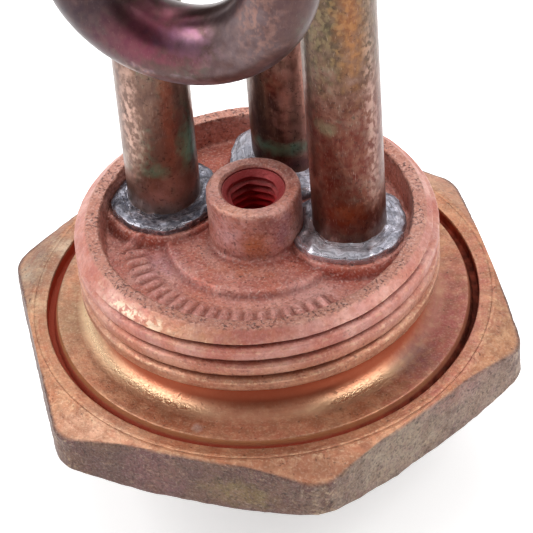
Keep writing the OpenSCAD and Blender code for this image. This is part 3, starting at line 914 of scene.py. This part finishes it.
TURNED_STAINS = (
    # Seat: front left, front right, left and right
    ((-12, -26, -0.6), (8, 4, 2), "#C09278", 0.85),
    ((12.8, -24.5, -0.6), (9, 5, 2), "#99634A", 0.95),
    ((-27, -1.5, -0.5), (5, 9, 2), "#846C5C", 0.85),
    ((27.5, 2, -0.3), (5, 10, 2), "#C4946F", 0.7),
    # Gasket land: left, front, right, a dark mauve patch and a pale spot
    ((-19.5, -9, 0), (5, 7, 1.2), "#937253", 0.85),
    ((5, -21, 0), (13, 4, 1.2), "#A9634A", 0.85),
    ((22, 0, 0), (6, 16, 1.6), "#A45450", 0.95),
    ((20, -6.2, 0), (3, 3.4, 1.6), "#7A4850", 0.8),
    ((-0.3, -23, 0), (0.7, 0.7, 0.5), "#DDBFB8", 0.8),
    # Cream patches on the left of the seat
    ((-26.4, 2.2, -0.3), (1.9, 1.7, 1), "#DCCBB0", 0.5),
    ((-28.5, -2.6, -0.6), (2.4, 2, 1), "#CFBDA2", 0.45),
    ((-25.3, -7.8, -0.3), (1.6, 3, 1), "#D6BE98", 0.4),
)
CAST_STAINS_AND_LIGHT = (
    # Pale right side, mauve and olive patches on the front, and the right corner. The pale right side and the
    # pale far right are painted light: the hex's right side drawn lighter because light falls on it
    ((21, -17, -3.5), (14, 12, 7), "#A2927E", 0.85),
    ((-4.2, -27, -3.7), (4, 2, 5), "#7E4E54", 0.6),
    ((5.8, -27, -4.6), (5, 2, 2.4), "#84733F", 0.6),
    ((26, -7.5, -1.4), (5, 7, 1.8), "#A4706C", 0.7),
    ((28, -4, -4.6), (6, 9, 5), "#A89282", 0.7),
)
SHEATH_STAINS_AND_LIGHT = (
    # Right leg, from its dark foot to its olive top
    ((10.5, 2.5, 25), (12, 12, 17), "#5E1E12", 0.92),
    ((11, 0, 15), (7, 6, 6), "#5C2013", 0.8),
    ((11.9, -1.5, 15.9), (2.2, 2, 1.8), "#8E451C", 0.6),
    ((10.5, 0, 42), (8, 7, 11), "#463E2C", 0.85),
    ((12.9, -0.9, 43), (1.6, 2, 8), "#8C5430", 0.75),
    ((9.6, -1.7, 28.1), (1.5, 1, 1.2), "#7E8064", 0.6),
    # Thin pale streak down the right leg's left edge: a painted highlight
    ((6.6, 1, 34), (0.6, 1.2, 13), "#D2B4A8", 0.9),
    ((7, 0.2, 24), (1, 1.4, 12), "#A8685A", 0.7),
    # Left leg, with a red streak, green spots and a paler foot
    ((-9.2, -0.7, 26), (0.9, 1.3, 8.5), "#86442F", 0.65),
    ((-8, 1.3, 20), (1.4, 1.8, 3.4), "#78A88C", 0.95),
    ((-11, -1.6, 17.6), (1.8, 1.2, 1.2), "#6E9A80", 0.85),
    ((-10.4, -1.4, 12.5), (9, 8, 4.5), "#B0928A", 0.75),
    # Front loop: red and mauve top, pale low edge, dark left and grey right. The mauve patch is a painted
    # highlight, the red round it is heat tint with a painted sheen, and the pale low edge is a painted
    # reflection
    ((-5.5, -12, 46), (7, 4, 3.6), "#883A52", 0.65),
    ((-1.5, -13, 46.3), (3.2, 2.6, 1.7), "#7C607A", 0.55),
    ((-4, -12.2, 39.4), (16, 5, 2.6), "#A898A4", 0.8),
    ((-15, -11, 50), (8, 9, 12), "#32242C", 0.82),
    ((5, -11, 50), (4.5, 5, 10), "#79686A", 0.7),
)
SHEATH_SCUFFS_AND_SHEEN = (
    # Left of the left leg, right of the right leg, the loop's low edge and right, the right leg's top. The
    # pale scuffs down the legs' outer edges and along the loop's low edge are partly painted highlight and
    # reflection
    ((-13.6, -1.5, 25), (1.5, 1.8, 10), "#CFA898", 0.75),
    ((14.3, 0.6, 28), (0.7, 1.4, 17), "#D2AC9E", 0.45),
    ((-8, -13, 41.5), (4, 2, 1.2), "#B58F84", 0.6),
    ((7, -12, 51), (3, 4, 6), "#A87868", 0.45),
    ((10, -1, 43), (7, 4, 9), "#A8966C", 0.25),
    ((12.9, -0.9, 42), (2, 2, 9), "#B4703C", 0.3),
)
POCKET_STAINS = (
    # Redder right side, a rusty spot, the green band and the mauve foot below it
    ((4, 9, 24), (3.4, 4.5, 16), "#CC988A", 0.9),
    ((0.8, 7.5, 25.5), (1.8, 1.4, 2), "#6E2F1C", 0.7),
    ((1.4, 7.6, 16), (5, 3, 1.1), "#7CB095", 0.9),
    ((1.8, 7.7, 13.6), (5, 4, 1), "#6E4C52", 0.7),
)
SOLDER_STAINS = (
    # Dark left ring and its right edge, the right ring's edge and bright front, the back ring's heap
    ((*LEG_LEFT, 11), (12, 12, 9), "#363742", 0.88),
    ((-6.5, -1, 10.5), (2.5, 3, 3), "#32323A", 0.7),
    ((14.5, -1.5, 11), (2, 2.5, 3), "#52535E", 0.6),
    ((9, -2.5, 11), (7, 4, 4), "#E4E2EA", 0.75),
    ((-6, 12, 12), (4, 5, 4), "#E4E4EE", 0.45),
)
SOLDER_SHADES = (
    # Film over the creases of the left ring and of the right ring's front edge
    ((*LEG_LEFT, 11), (10, 10, 9), "#4C4C58", 0.4),
    ((13.5, -5, 10.6), (5, 3, 2.6), "#4A4C5C", 0.35),
)


def plug_masks(tree, place):
    """Masks of the plug's finish: its zones, and the grains of its oxide, its skin and its wear."""
    m = SimpleNamespace()
    for name in ("wet", "cast", "groove", "slope", "valley", "hole", "deep", "wall", "rim", "bare", "lip",
                 "scribed", "sweep", "under", "foot", "dull", "between", "bar", "edge", "crevice"):
        setattr(m, name, add(tree, "ShaderNodeAttribute", attribute_name=name).outputs["Fac"])
    # Clouds of oxide, from broad to small
    m.ragged = ragged_edge(tree, place)
    m.broad = grain(tree, place, 5, 0.42, 0.6)
    m.cloud = grain(tree, place, 2.2, 0.42, 0.6)
    m.mottle = grain(tree, place, 1.5, 0.46, 0.6, detail=6)
    m.blotch = grain(tree, place, 0.95, 0.48, 0.64, detail=5)
    # Specks, grit and pits. The real grit is finer, and is drawn as coarse as it needs to show
    m.dark = grain(tree, place, 0.37, 0.5, 0.72, detail=4)
    m.light = grain(tree, place, 0.29, 0.5, 0.72, detail=3)
    m.grit = grain(tree, place, 0.21, 0.42, 0.66, detail=2)
    m.pit = overlap(tree, grain(tree, place, 0.43, 0.61, 0.69), grain(tree, place, 1.7, 0.44, 0.6))
    m.pocks = overlap(tree, grain(tree, place, 0.36, 0.53, 0.6, detail=4), grain(tree, place, 2.6, 0.4, 0.56))
    # Turning marks round the plug's axis, drawn coarser than real ones so that they show
    turning_pitch = 0.4
    cuts = add(tree, "ShaderNodeTexNoise",
               {"W": from_axis(tree, place, (0, 0)), "Scale": 1 / turning_pitch, "Detail": 3.0},
               noise_dimensions="1D").outputs["Fac"]
    m.rings = add(tree, "ShaderNodeMapRange", {"Value": cuts, "From Min": 0.4, "From Max": 0.6}).outputs[0]
    # Specks are fainter on the rubbed outside, the swept fillet and the groove's inner wall
    m.quiet = levels(tree, 1.0, [(m.bare, 0.4)])
    m.calm = levels(tree, 1.0, [(m.sweep, 0.1), (m.slope, 0.3)])
    # The swept fillet is bare and bright, apart from the front and right of the seat; its pale cream colour
    # is partly a painted highlight
    m.bright = overlap(tree, m.sweep, levels(tree, 1.0, [(m.dull, 0.2)]))
    # Right of the seat, where the groove is painted darker as shade and its inner wall is redder
    m.right_side = patch(tree, place, m.ragged, (27, 4, -1), (16, 24, 6))
    # Edges are chipped bright, less so under oxide and skin, and the lip's front left is flaked
    chip = grain(tree, place, 0.5, 0.52, 0.6, detail=6)
    rubbed = levels(tree, 1.0, [(m.wet, 0.55), (m.cast, 0.45)])
    m.worn = overlap(tree, m.edge, m.bare, chip, rubbed)
    flake = grain(tree, place, 0.75, 0.47, 0.54, detail=8)
    lip_front = patch(tree, place, m.ragged, (-8.6, -18.2, 11.3), (6.4, 4, 3))
    m.flaked = overlap(tree, lip_front, m.lip, flake)
    return m


def wet_colour(tree, place, c, m):
    """Matt copper-red oxide of the wet side, with pits, darker feet and a deep red hole."""
    return coats(tree, c.wet_red, [
        (m.broad, c.wet_pink, 0.9), (m.cloud, "#B06A66", 0.38), *patch_coats(tree, place, m.ragged, WET_STAINS_AND_LIGHT),
        # Darker feet: painted shade where they meet the floor, and the deepest oxide
        (m.blotch, "#B86646", 0.34), (m.foot, "#8E3426", 0.6), (m.between, "#96472E", 0.5),
        (m.bar, "#CE9690", 0.5), (m.wall, "#CC8A7A", 0.7), (m.rim, "#B88470", 0.6),
        (overlap(tree, m.dark, m.quiet), "#7C3C34", 0.62), (overlap(tree, m.light, m.quiet), "#F0D0C6", 0.42),
        (overlap(tree, m.rim, m.pocks), "#4A2C28", 0.8), (overlap(tree, m.pit, m.quiet), "#43211D", 0.7),
        # Dark thread valleys: painted shade, with some dirt
        (m.valley, "#6A2C24", 0.9), (m.hole, "#A02A30", 0.9), (m.deep, "#E42E36", 0.97)])


def turned_colour(tree, place, c, m):
    """Golden tarnish of the turned seat, with a bright fillet and a dark red-brown groove."""
    return coats(tree, c.turned_gold, [
        (m.cloud, c.turned_rust, 0.6), *patch_coats(tree, place, m.ragged, TURNED_STAINS),
        (overlap(tree, m.rings, m.cloud), "#96563C", 0.45), (m.blotch, "#D8B28E", 0.2),
        (overlap(tree, m.mottle, m.calm), "#8A5A40", 0.45), (overlap(tree, m.dark, m.calm), "#7A4A34", 0.4),
        (overlap(tree, m.light, m.calm), "#EED2B6", 0.2), (overlap(tree, m.pit, m.calm), "#452619", 0.7),
        # Pale cream on the fillet is partly a painted highlight, the lighter gold on the groove's inner wall
        # is partly painted reflected light, and the dark red-brown under the thread is painted shade on its
        # tarnish
        (m.bright, "#EAC9A2", 0.8), (m.slope, "#CE8C5E", 0.8), (m.under, "#9E4E36", 0.92),
        # Groove: red-brown that is partly painted shade on its floor and outer wall, and near-black painted
        # shade on the right
        (m.groove, c.groove_brown, 0.95), (overlap(tree, m.groove, m.right_side), "#40180F", 0.9),
        # Dark thread valleys: painted shade, with some dirt
        (overlap(tree, m.slope, m.right_side), "#B46452", 0.7), (m.valley, "#5E3123", 0.85),
        (overlap(tree, m.scribed, m.mottle), "#5E3D2A", 0.4)])


def cast_colour(tree, place, c, m):
    """Grey-brown casting skin of the hex sides, gritty and pitted."""
    return coats(tree, c.cast_brown, [
        (m.broad, "#5A3E3C", 0.6), *patch_coats(tree, place, m.ragged, CAST_STAINS_AND_LIGHT), (m.blotch, "#855E62", 0.3),
        (m.cloud, "#7E5E46", 0.3), (m.grit, "#96766A", 0.3), (m.light, "#C4B0A2", 0.28),
        (m.dark, "#3E2C29", 0.7), (m.pit, "#2E2120", 0.6)])


def plug_finish(c):
    """Cast and turned brass after years in hot water.

    The wet side has a matt copper-red oxide with pits, the turned seat is golden and satin, and the hex sides
    keep their rough grey-brown casting skin. Edges are rubbed bright.
    """
    material, tree, shader, place = finish_base("tarnished_cast_brass")
    m = plug_masks(tree, place)
    colour = coats(tree, turned_colour(tree, place, c, m), [
        (m.wet, wet_colour(tree, place, c, m), 1), (m.cast, cast_colour(tree, place, c, m), 1),
        # The crevice coat on the wet side is painted shade, with some dirt
        (overlap(tree, m.crevice, m.wet), "#5A2620", 0.55), (m.flaked, "#F6E2C4", 0.85),
        (m.worn, c.worn_brass, 0.9)])
    metal = levels(tree, 0.5, [
        (m.bright, 0.95), (m.dull, 0.3), (m.under, 0.95), (m.groove, 0.2), (m.slope, 0.35), (m.wet, 0.35),
        (m.cast, 0.5), (m.worn, 0.9), (m.flaked, 0.3)])
    satin = levels(tree, 0.36, [
        (m.blotch, 0.42), (m.bright, 0.24), (m.dull, 0.55), (m.groove, 0.8), (m.wet, 0.46), (m.cast, 0.48),
        (m.deep, 0.8), (m.worn, 0.3), (m.flaked, 0.35)])
    uneven = m.light
    for low, depth in ((m.dark, -0.7), (m.pit, -1.2)):
        sunk = add(tree, "ShaderNodeMath", {0: low, 1: depth, 2: uneven}, operation="MULTIPLY_ADD")
        uneven = sunk.outputs[0]
    share = levels(tree, 0.03, [(m.sweep, 0.01), (m.wet, 0.6), (m.bare, 0.3), (m.cast, 1.0)])
    bump = add(tree, "ShaderNodeBump", {"Height": overlap(tree, uneven, share), "Distance": 0.06 * MM})
    connect(tree, shader, {
        "Base Color": colour, "Metallic": metal, "Roughness": satin, "Normal": bump.outputs[0],
        "Specular IOR Level": levels(tree, 0.5, [(m.deep, 0.05), (m.groove, 0.1)])})
    return material


def copper_finish(name, base, loop, patina, roughness, layers, scuffs_and_sheen):
    """Drawn copper tube, tarnished and streaked, with stains, scuffs and painted light in given places.

    The front loop has its own colour and is smoother. The legs have patina, dark specks and fine scratches.
    """
    material, tree, shader, place = finish_base(name)
    ragged = ragged_edge(tree, place)
    # Draw marks run along the legs. They and the scratches are drawn as coarse as they need to show
    streak = grain(tree, place, 0.8, 0.4, 0.65, stretch=(1, 1, 10))
    blotch = grain(tree, place, 2.1, 0.45, 0.65, stretch=(1, 1, 1.5), detail=5)
    mottle = grain(tree, place, 0.7, 0.38, 0.68, stretch=(1, 1, 1.6), detail=6)
    speck = overlap(tree, grain(tree, place, 0.36, 0.55, 0.7, detail=4), grain(tree, place, 1.6, 0.4, 0.62))
    tide = grain(tree, place, 11, 0.42, 0.62, stretch=(1, 1, 2), detail=5)
    scratch = grain(tree, place, 0.12, 0.62, 0.72, stretch=(1, 1, 6), detail=3)
    flake = grain(tree, place, 0.6, 0.44, 0.58, stretch=(1, 1, 1.4), detail=8)
    bloom = grain(tree, place, 2.8, 0.5, 0.64, stretch=(1, 1, 1.8), detail=6)
    # The loop begins in front of the legs
    depth = add(tree, "ShaderNodeSeparateXYZ", {0: place}).outputs["Y"]
    front = add(tree, "ShaderNodeMapRange", {"Value": depth, "From Min": -2.8, "From Max": -4.8}).outputs[0]
    legs = levels(tree, 1.0, [(front, 0.3)])
    colour = coats(tree, base, [
        (streak, "#8F6E5C", 0.3), (front, loop, 1), (tide, "#5C4038", 0.4), (blotch, "#4A302B", 0.35),
        (overlap(tree, bloom, flake, legs), patina, 0.45), *patch_coats(tree, place, ragged, layers),
        (overlap(tree, mottle, legs), "#A98168", 0.22), (overlap(tree, speck, legs), "#2A1917", 0.75),
        (overlap(tree, scratch, legs), "#D6BDB0", 0.22),
        *[(overlap(tree, mask, flake), over, strength)
          for mask, over, strength in patch_coats(tree, place, ragged, scuffs_and_sheen)]])
    satin = levels(tree, roughness, [(blotch, roughness + 0.08), (speck, roughness + 0.12)])
    uneven = add(tree, "ShaderNodeMath", {0: streak, 1: 0.4, 2: mottle}, operation="MULTIPLY_ADD").outputs[0]
    bump = add(tree, "ShaderNodeBump", {"Height": overlap(tree, uneven, legs), "Distance": 0.02 * MM})
    connect(tree, shader, {
        "Base Color": colour, "Metallic": 0.85, "Roughness": satin, "Normal": bump.outputs[0],
        "Coat Weight": 0.12, "Coat Roughness": 0.3})
    return material


def sheath_finish(c):
    """Element tube: grey-brown left leg, redder right leg and a heat-tinted mauve front loop."""
    return copper_finish("heat_tinted_copper", c.leg_brown, c.bend_mauve, c.verdigris, 0.3,
                         SHEATH_STAINS_AND_LIGHT, SHEATH_SCUFFS_AND_SHEEN)


def pocket_finish(c):
    """Pocket tube: dark brown, with a redder side and a green band near its foot."""
    return copper_finish("dark_copper_tube", c.pocket_brown, c.pocket_brown, c.verdigris, 0.36,
                         POCKET_STAINS, ())


def solder_finish(c):
    """Soft solder: dull blue-grey, creased and pitted, bright on its high spots, darker on the left ring."""
    material, tree, shader, place = finish_base("soft_solder")
    ragged = ragged_edge(tree, place)
    edge = add(tree, "ShaderNodeAttribute", attribute_name="edge").outputs["Fac"]
    crevice = add(tree, "ShaderNodeAttribute", attribute_name="crevice").outputs["Fac"]
    cloud = grain(tree, place, 1.5, 0.42, 0.58, detail=5)
    speck = grain(tree, place, 0.3, 0.56, 0.68, detail=3)
    pit = grain(tree, place, 0.5, 0.62, 0.7, detail=4)
    # Creases run round the nearest tube, as the solder was drawn
    crease_pitch = 0.5
    near = from_axis(tree, place, LEG_LEFT)
    for spot in (LEG_RIGHT, POCKET):
        away = from_axis(tree, place, spot)
        near = add(tree, "ShaderNodeMath", {0: away, 1: near}, operation="MINIMUM").outputs[0]
    waved = add(tree, "ShaderNodeMath", {0: cloud, 1: 0.5, 2: near}, operation="MULTIPLY_ADD").outputs[0]
    drawn = add(tree, "ShaderNodeTexNoise", {"W": waved, "Scale": 1 / crease_pitch, "Detail": 5.0},
                noise_dimensions="1D").outputs["Fac"]
    crease = add(tree, "ShaderNodeMapRange", {"Value": drawn, "From Min": 0.53, "From Max": 0.6}).outputs[0]
    fold = add(tree, "ShaderNodeMapRange", {"Value": drawn, "From Min": 0.46, "From Max": 0.4}).outputs[0]
    colour = coats(tree, c.solder_grey, [
        (cloud, "#6A6C78", 0.6), *patch_coats(tree, place, ragged, SOLDER_STAINS), (crease, "#DAD7E0", 0.42),
        (fold, "#2A2A32", 0.42), (speck, "#E2DFE6", 0.35), (pit, "#26262C", 0.5),
        # The crevice coat is painted shade in the solder's hollows
        *patch_coats(tree, place, ragged, SOLDER_SHADES), (crevice, "#2F2F38", 0.5), (edge, "#E4E1E8", 0.2)])
    satin = levels(tree, 0.34, [(cloud, 0.46), (crease, 0.25)])
    uneven = add(tree, "ShaderNodeMath", {0: pit, 1: -1.0, 2: crease}, operation="MULTIPLY_ADD").outputs[0]
    bump = add(tree, "ShaderNodeBump", {"Height": uneven, "Distance": 0.05 * MM})
    connect(tree, shader, {
        "Base Color": colour, "Metallic": 0.85, "Roughness": satin, "Normal": bump.outputs[0]})
    return material


def plain_finish(name, base, other, size, metallic, roughness, depth):
    """Evenly worn finish: one colour mottled with another at a grain size, with a relief, in millimetres."""
    material, tree, shader, place = finish_base(name)
    mottle = grain(tree, place, size, 0.4, 0.65)
    fine = grain(tree, place, size / 4, 0.45, 0.65)
    bump = add(tree, "ShaderNodeBump", {"Height": fine, "Distance": depth * MM})
    connect(tree, shader, {
        "Base Color": coats(tree, base, [(mottle, other, 0.8)]), "Metallic": metallic,
        "Roughness": levels(tree, roughness, [(mottle, roughness + 0.12)]), "Normal": bump.outputs[0]})
    return material


# Operators

class HEATER_OT_plug(bpy.types.Operator):
    """Builds the brass plug with its thread, cast floor and holes"""
    bl_idname = "heater.plug"
    bl_label = "Brass plug"

    def execute(self, context):
        s = plug_sizes(context.scene.heater_plug)
        solid = plug_mesh(s)
        tube_hole = context.scene.heater_tubes.tube_d / MM / 2 + s.tube_gap
        over = 2
        low, high = s.dish_z - over, s.rim_z + over
        holes = [(place, tube_hole, low, high) for place in (LEG_LEFT, LEG_RIGHT, POCKET)]
        holes.append((EARTH, s.earth_r, low, s.dish_z + s.earth_depth))
        mesh = drilled(solid, holes)
        points = read(mesh.vertices, "co", 3) / MM
        for name, share in plug_zones(points, s).items():
            store(mesh, name, share)
        mark_edges(mesh)
        finish = plug_finish(context.scene.heater_colours)
        piece("brass_plug", smooth(mesh, 50), finish, "plug_brass", "plug_body")
        return {"FINISHED"}


class HEATER_OT_element(bpy.types.Operator):
    """Sweeps the folded element tube along its path"""
    bl_idname = "heater.element"
    bl_label = "Element tube"

    def execute(self, context):
        s = in_mm(context.scene.heater_tubes)
        finish = sheath_finish(context.scene.heater_colours)
        mesh = swept_tube(tube_path(s, SHEATH_LOW.z / MM), s.tube_d / 2, s.wall, finish)
        piece("element_tube", smooth(mesh, 50), finish, "element_copper", "element_sheath")
        return {"FINISHED"}


class HEATER_OT_pocket(bpy.types.Operator):
    """Turns the pocket tube with its domed end"""
    bl_idname = "heater.pocket"
    bl_label = "Pocket tube"

    def execute(self, context):
        s = in_mm(context.scene.heater_tubes)
        outer = s.tube_d / 2
        inner = outer - s.wall
        low = POCKET_LOW.z / MM
        dome = POCKET_HIGH.z / MM - outer
        turn = np.radians(np.arange(5, 91, 8.5))
        profile = [(inner * math.cos(a), dome + inner * math.sin(a)) for a in turn[::-1]]
        profile += [(inner, z) for z in np.linspace(dome, low + 0.2, 60)]
        profile += [(inner + 0.15, low), (outer - 0.15, low)]
        profile += [(outer, z) for z in np.linspace(low + 0.15, dome, 60)]
        profile += [(outer * math.cos(a), dome + outer * math.sin(a)) for a in turn]
        profile = [p for p in profile if p[0] > 0.05]
        ones = np.ones(TUBE_SIDES)
        mesh = turned_mesh(
            "pocket_tube", np.outer([p[0] for p in profile], ones), np.outer([p[1] for p in profile], ones),
            POCKET, (dome + inner, dome + outer))
        finish = pocket_finish(context.scene.heater_colours)
        piece("control_pocket", smooth(mesh, 50), finish, "pocket_copper", "pocket_tube")
        return {"FINISHED"}


class HEATER_OT_solder(bpy.types.Operator):
    """Lays the lumpy solder rings round the tubes"""
    bl_idname = "heater.solder"
    bl_label = "Solder rings"

    def execute(self, context):
        s = in_mm(context.scene.heater_tubes)
        plug = plug_sizes(context.scene.heater_plug)
        finish = solder_finish(context.scene.heater_colours)
        rings = (
            ("left", LEG_LEFT, 10, 0, 0),
            ("right", LEG_RIGHT, 15, 0.2, 0),
            ("back", POCKET, 20, 1.1, 1.3),
        )
        for side, place, seed, climb, bank in rings:
            node = "solder_ring_" + side
            mesh = solder_mesh(node, place, seed, climb, bank, s, plug)
            piece("solder_" + side, mesh, finish, "solder", node)
        return {"FINISHED"}


class HEATER_OT_terminals(bpy.types.Operator):
    """Softens the edges of the terminal pieces on the dry side and gives them their finishes"""
    bl_idname = "heater.terminals"
    bl_label = "Terminals"

    def execute(self, context):
        # Fired steatite: off-white, faintly mottled and matt
        steatite = plain_finish("steatite", "#DDD6C8", "#CFC6B4", 1.5, 0.0, 0.55, 0.01)
        # Tinned steel sheet: grey, satin, with a cloudy tin coat
        tinned = plain_finish("tinned_steel", "#B9BABC", "#9A9B9F", 2.0, 1.0, 0.33, 0.008)
        for side in ("left", "right"):
            bush = "terminal_bush_" + side
            piece("bush_" + side, softened(bush, 0.2), steatite, "bush_ceramic", bush)
            tab = "terminal_tab_" + side
            piece("blade_" + side, softened(tab, 0.1), tinned, "terminal_steel", tab)
        for node, width in (("earth_tab", 0.1), ("earth_washer", 0.1), ("earth_screw", 0.25)):
            piece(node + "_finished", softened(node, width), tinned, "terminal_steel", node)
        return {"FINISHED"}


class HEATER_OT_inner(bpy.types.Operator):
    """Sweeps the winding and its powder along the element, and gives the pins and seals their finishes"""
    bl_idname = "heater.inner"
    bl_label = "Inner pieces"

    def execute(self, context):
        s = in_mm(context.scene.heater_tubes)
        # Nickel-chrome wire: dark grey after firing
        wire = plain_finish("nichrome_wire", "#6E6C6A", "#565350", 0.6, 1.0, 0.4, 0.01)
        # Packed magnesium oxide: chalky white powder
        powder = plain_finish("packed_magnesia", "#E6E3DB", "#D6D1C6", 0.8, 0.0, 0.9, 0.02)
        # The powder's skin stays just inside the sheath's
        powder_gap = 0.02
        powder_r = s.tube_d / 2 - s.wall - powder_gap
        for node, name, outer, wall, slot, finish in (
                ("heating_coil", "winding", s.coil_r, s.coil_wall, "resistance_wire", wire),
                ("magnesia_fill", "powder", powder_r, s.powder_wall, "magnesia", powder)):
            route = tube_path(s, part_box(node)[0].z / MM)
            piece(name, smooth(swept_tube(route, outer, wall, finish), 50), finish, slot, node)
        finishes = {
            # Cold-drawn mild steel: grey with fine draw marks
            "pin_steel": plain_finish("drawn_steel", "#A3A4A6", "#87888B", 1.0, 1.0, 0.35, 0.005),
            # Filled epoxy: red-brown, slightly glossy
            "seal_resin": plain_finish("filled_epoxy", "#7A3326", "#642A20", 1.2, 0.0, 0.45, 0.01),
        }
        for part in frame["record"]["subparts"]:
            if part["material_slot"] in finishes:
                mesh = frame["nodes"][part["node"]].data
                mesh.materials.clear()
                mesh.materials.append(finishes[part["material_slot"]])
        return {"FINISHED"}


def studio_lamp(name, azimuth, elevation, distance, size, power):
    """Soft square lamp that shines at the plug from an angle in degrees, with sizes in metres."""
    a = math.radians(azimuth)
    e = math.radians(elevation)
    out = Vector((math.sin(a) * math.cos(e), -math.cos(a) * math.cos(e), math.sin(e)))
    light = bpy.data.lights.new(name, "AREA")
    light.size = size
    light.energy = power
    lamp = bpy.data.objects.new(name, light)
    lamp.location = out * distance
    lamp.rotation_mode = "QUATERNION"
    lamp.rotation_quaternion = out.to_track_quat("Z", "Y")
    lamp.visible_camera = False
    bpy.context.scene.collection.objects.link(lamp)


def seen_directly(tree):
    """Number that is 1 on camera, glossy and transmission rays."""
    path = add(tree, "ShaderNodeLightPath")
    either = add(tree, "ShaderNodeMath", {0: path.outputs["Is Camera Ray"], 1: path.outputs["Is Glossy Ray"]},
                 operation="MAXIMUM").outputs[0]
    return add(tree, "ShaderNodeMath", {0: either, 1: path.outputs["Is Transmission Ray"]},
               operation="MAXIMUM").outputs[0]


class HEATER_OT_stage(bpy.types.Operator):
    """Sets the floor, the soft light and the camera"""
    bl_idname = "heater.stage"
    bl_label = "Stage"

    def execute(self, context):
        scene = context.scene
        view = scene.heater_stage
        scene.view_settings.view_transform = "Standard"

        # White paper floor, lifted to white where it is seen and lit
        paper = bpy.data.materials.new("white_paper")
        paper.use_nodes = True
        tree = paper.node_tree
        glow = add(tree, "ShaderNodeMath", {0: seen_directly(tree), 1: 0.5}, operation="MULTIPLY").outputs[0]
        connect(tree, tree.nodes["Principled BSDF"], {
            "Base Color": opaque("#F3F3F3"), "Roughness": 0.9, "Emission Color": opaque("#FFFFFF"),
            "Emission Strength": glow})
        work = bmesh.new()
        bmesh.ops.create_grid(work, x_segments=1, y_segments=1, size=6)
        ground = bpy.data.meshes.new("floor")
        work.to_mesh(ground)
        work.free()
        ground.transform(Matrix.Translation((0, 0, CAD_BOX[0][2] - view.floor_gap)))
        ground.materials.append(paper)
        floor = bpy.data.objects.new("floor", ground)
        scene.collection.objects.link(floor)

        world = bpy.data.worlds.new("studio")
        scene.world = world
        world.use_nodes = True
        tree = world.node_tree
        strength = levels(tree, 0.7, [(seen_directly(tree), 1.0)])
        connect(tree, tree.nodes["Background"], {"Color": opaque("#FFFFFF"), "Strength": strength})

        turn = math.degrees(view.azimuth)
        studio_lamp("left softbox", turn - 84, 44, distance=0.7, size=0.34, power=1.9)
        studio_lamp("right softbox", turn + 68, 48, distance=0.7, size=0.34, power=1.8)
        studio_lamp("back softbox", turn + 180, 66, distance=0.9, size=0.62, power=2.8)

        e = view.elevation
        forward = Vector((0, math.cos(e), -math.sin(e)))
        right = Vector((1, 0, 0))
        up = right.cross(forward)
        right_rolled = right * math.cos(view.roll) + up * math.sin(view.roll)
        up_rolled = up * math.cos(view.roll) - right * math.sin(view.roll)
        spot = right_rolled * view.across + up_rolled * view.upwards - forward * view.distance
        pose = Matrix((right_rolled, up_rolled, -forward)).transposed().to_4x4()
        pose.translation = spot
        lens = bpy.data.cameras.new("photo view")
        lens.sensor_width = 36
        lens.lens = lens.sensor_width * view.focal_px / PICTURE_W
        lens.clip_start = 0.01
        camera = bpy.data.objects.new("photo view", lens)
        camera.matrix_world = Matrix.Rotation(view.azimuth, 4, "Z") @ pose
        scene.collection.objects.link(camera)
        scene.camera = camera

        # Dark felt card behind the camera, which gives the metal its darker front
        felt = bpy.data.materials.new("black_felt")
        felt.use_nodes = True
        connect(felt.node_tree, felt.node_tree.nodes["Principled BSDF"], {
            "Base Color": opaque("#3A3432"), "Roughness": 1})
        sheet = bpy.data.meshes.new("card")
        half_w, half_h = 0.36, 0.17
        corners = [(-half_w, -half_h, 0), (half_w, -half_h, 0), (half_w, half_h, 0), (-half_w, half_h, 0)]
        sheet.from_pydata(corners, [], [(0, 1, 2, 3)])
        sheet.transform(camera.matrix_world @ Matrix.Translation((0, 0, 0.06)))
        sheet.materials.append(felt)
        card = bpy.data.objects.new("card", sheet)
        card.visible_camera = False
        scene.collection.objects.link(card)
        return {"FINISHED"}


class HEATER_PT_panel(bpy.types.Panel):
    """Sidebar panel that lists the steps"""
    bl_label = "Screw plug heater"
    bl_idname = "HEATER_PT_panel"
    bl_space_type = "VIEW_3D"
    bl_region_type = "UI"
    bl_category = "Heater"

    def draw(self, context):
        for step in STEPS:
            self.layout.operator(step.bl_idname)
        for group in GROUPS:
            for name in GROUPS[group].__annotations__:
                self.layout.prop(getattr(context.scene, group), name)


STEPS = (HEATER_OT_plug, HEATER_OT_element, HEATER_OT_pocket, HEATER_OT_solder, HEATER_OT_terminals,
         HEATER_OT_inner, HEATER_OT_stage)
GROUPS = {"heater_plug": HeaterPlugSizes, "heater_tubes": HeaterTubeSizes, "heater_colours": HeaterColours,
          "heater_stage": HeaterStageSettings}
CLASSES = (*GROUPS.values(), *STEPS, HEATER_PT_panel)


def register():
    """Registers the classes and puts their settings on the scene."""
    for made in CLASSES:
        bpy.utils.register_class(made)
    for name, group in GROUPS.items():
        setattr(bpy.types.Scene, name, bpy.props.PointerProperty(type=group))


def unregister():
    """Takes the settings and classes away again."""
    for name in GROUPS:
        delattr(bpy.types.Scene, name)
    for made in reversed(CLASSES):
        bpy.utils.unregister_class(made)


def main():
    """Builds every piece and the stage."""
    register()
    bpy.ops.heater.plug()
    bpy.ops.heater.element()
    bpy.ops.heater.pocket()
    bpy.ops.heater.solder()
    bpy.ops.heater.terminals()
    bpy.ops.heater.inner()
    bpy.ops.heater.stage()


if __name__ == "__main__":
    main()
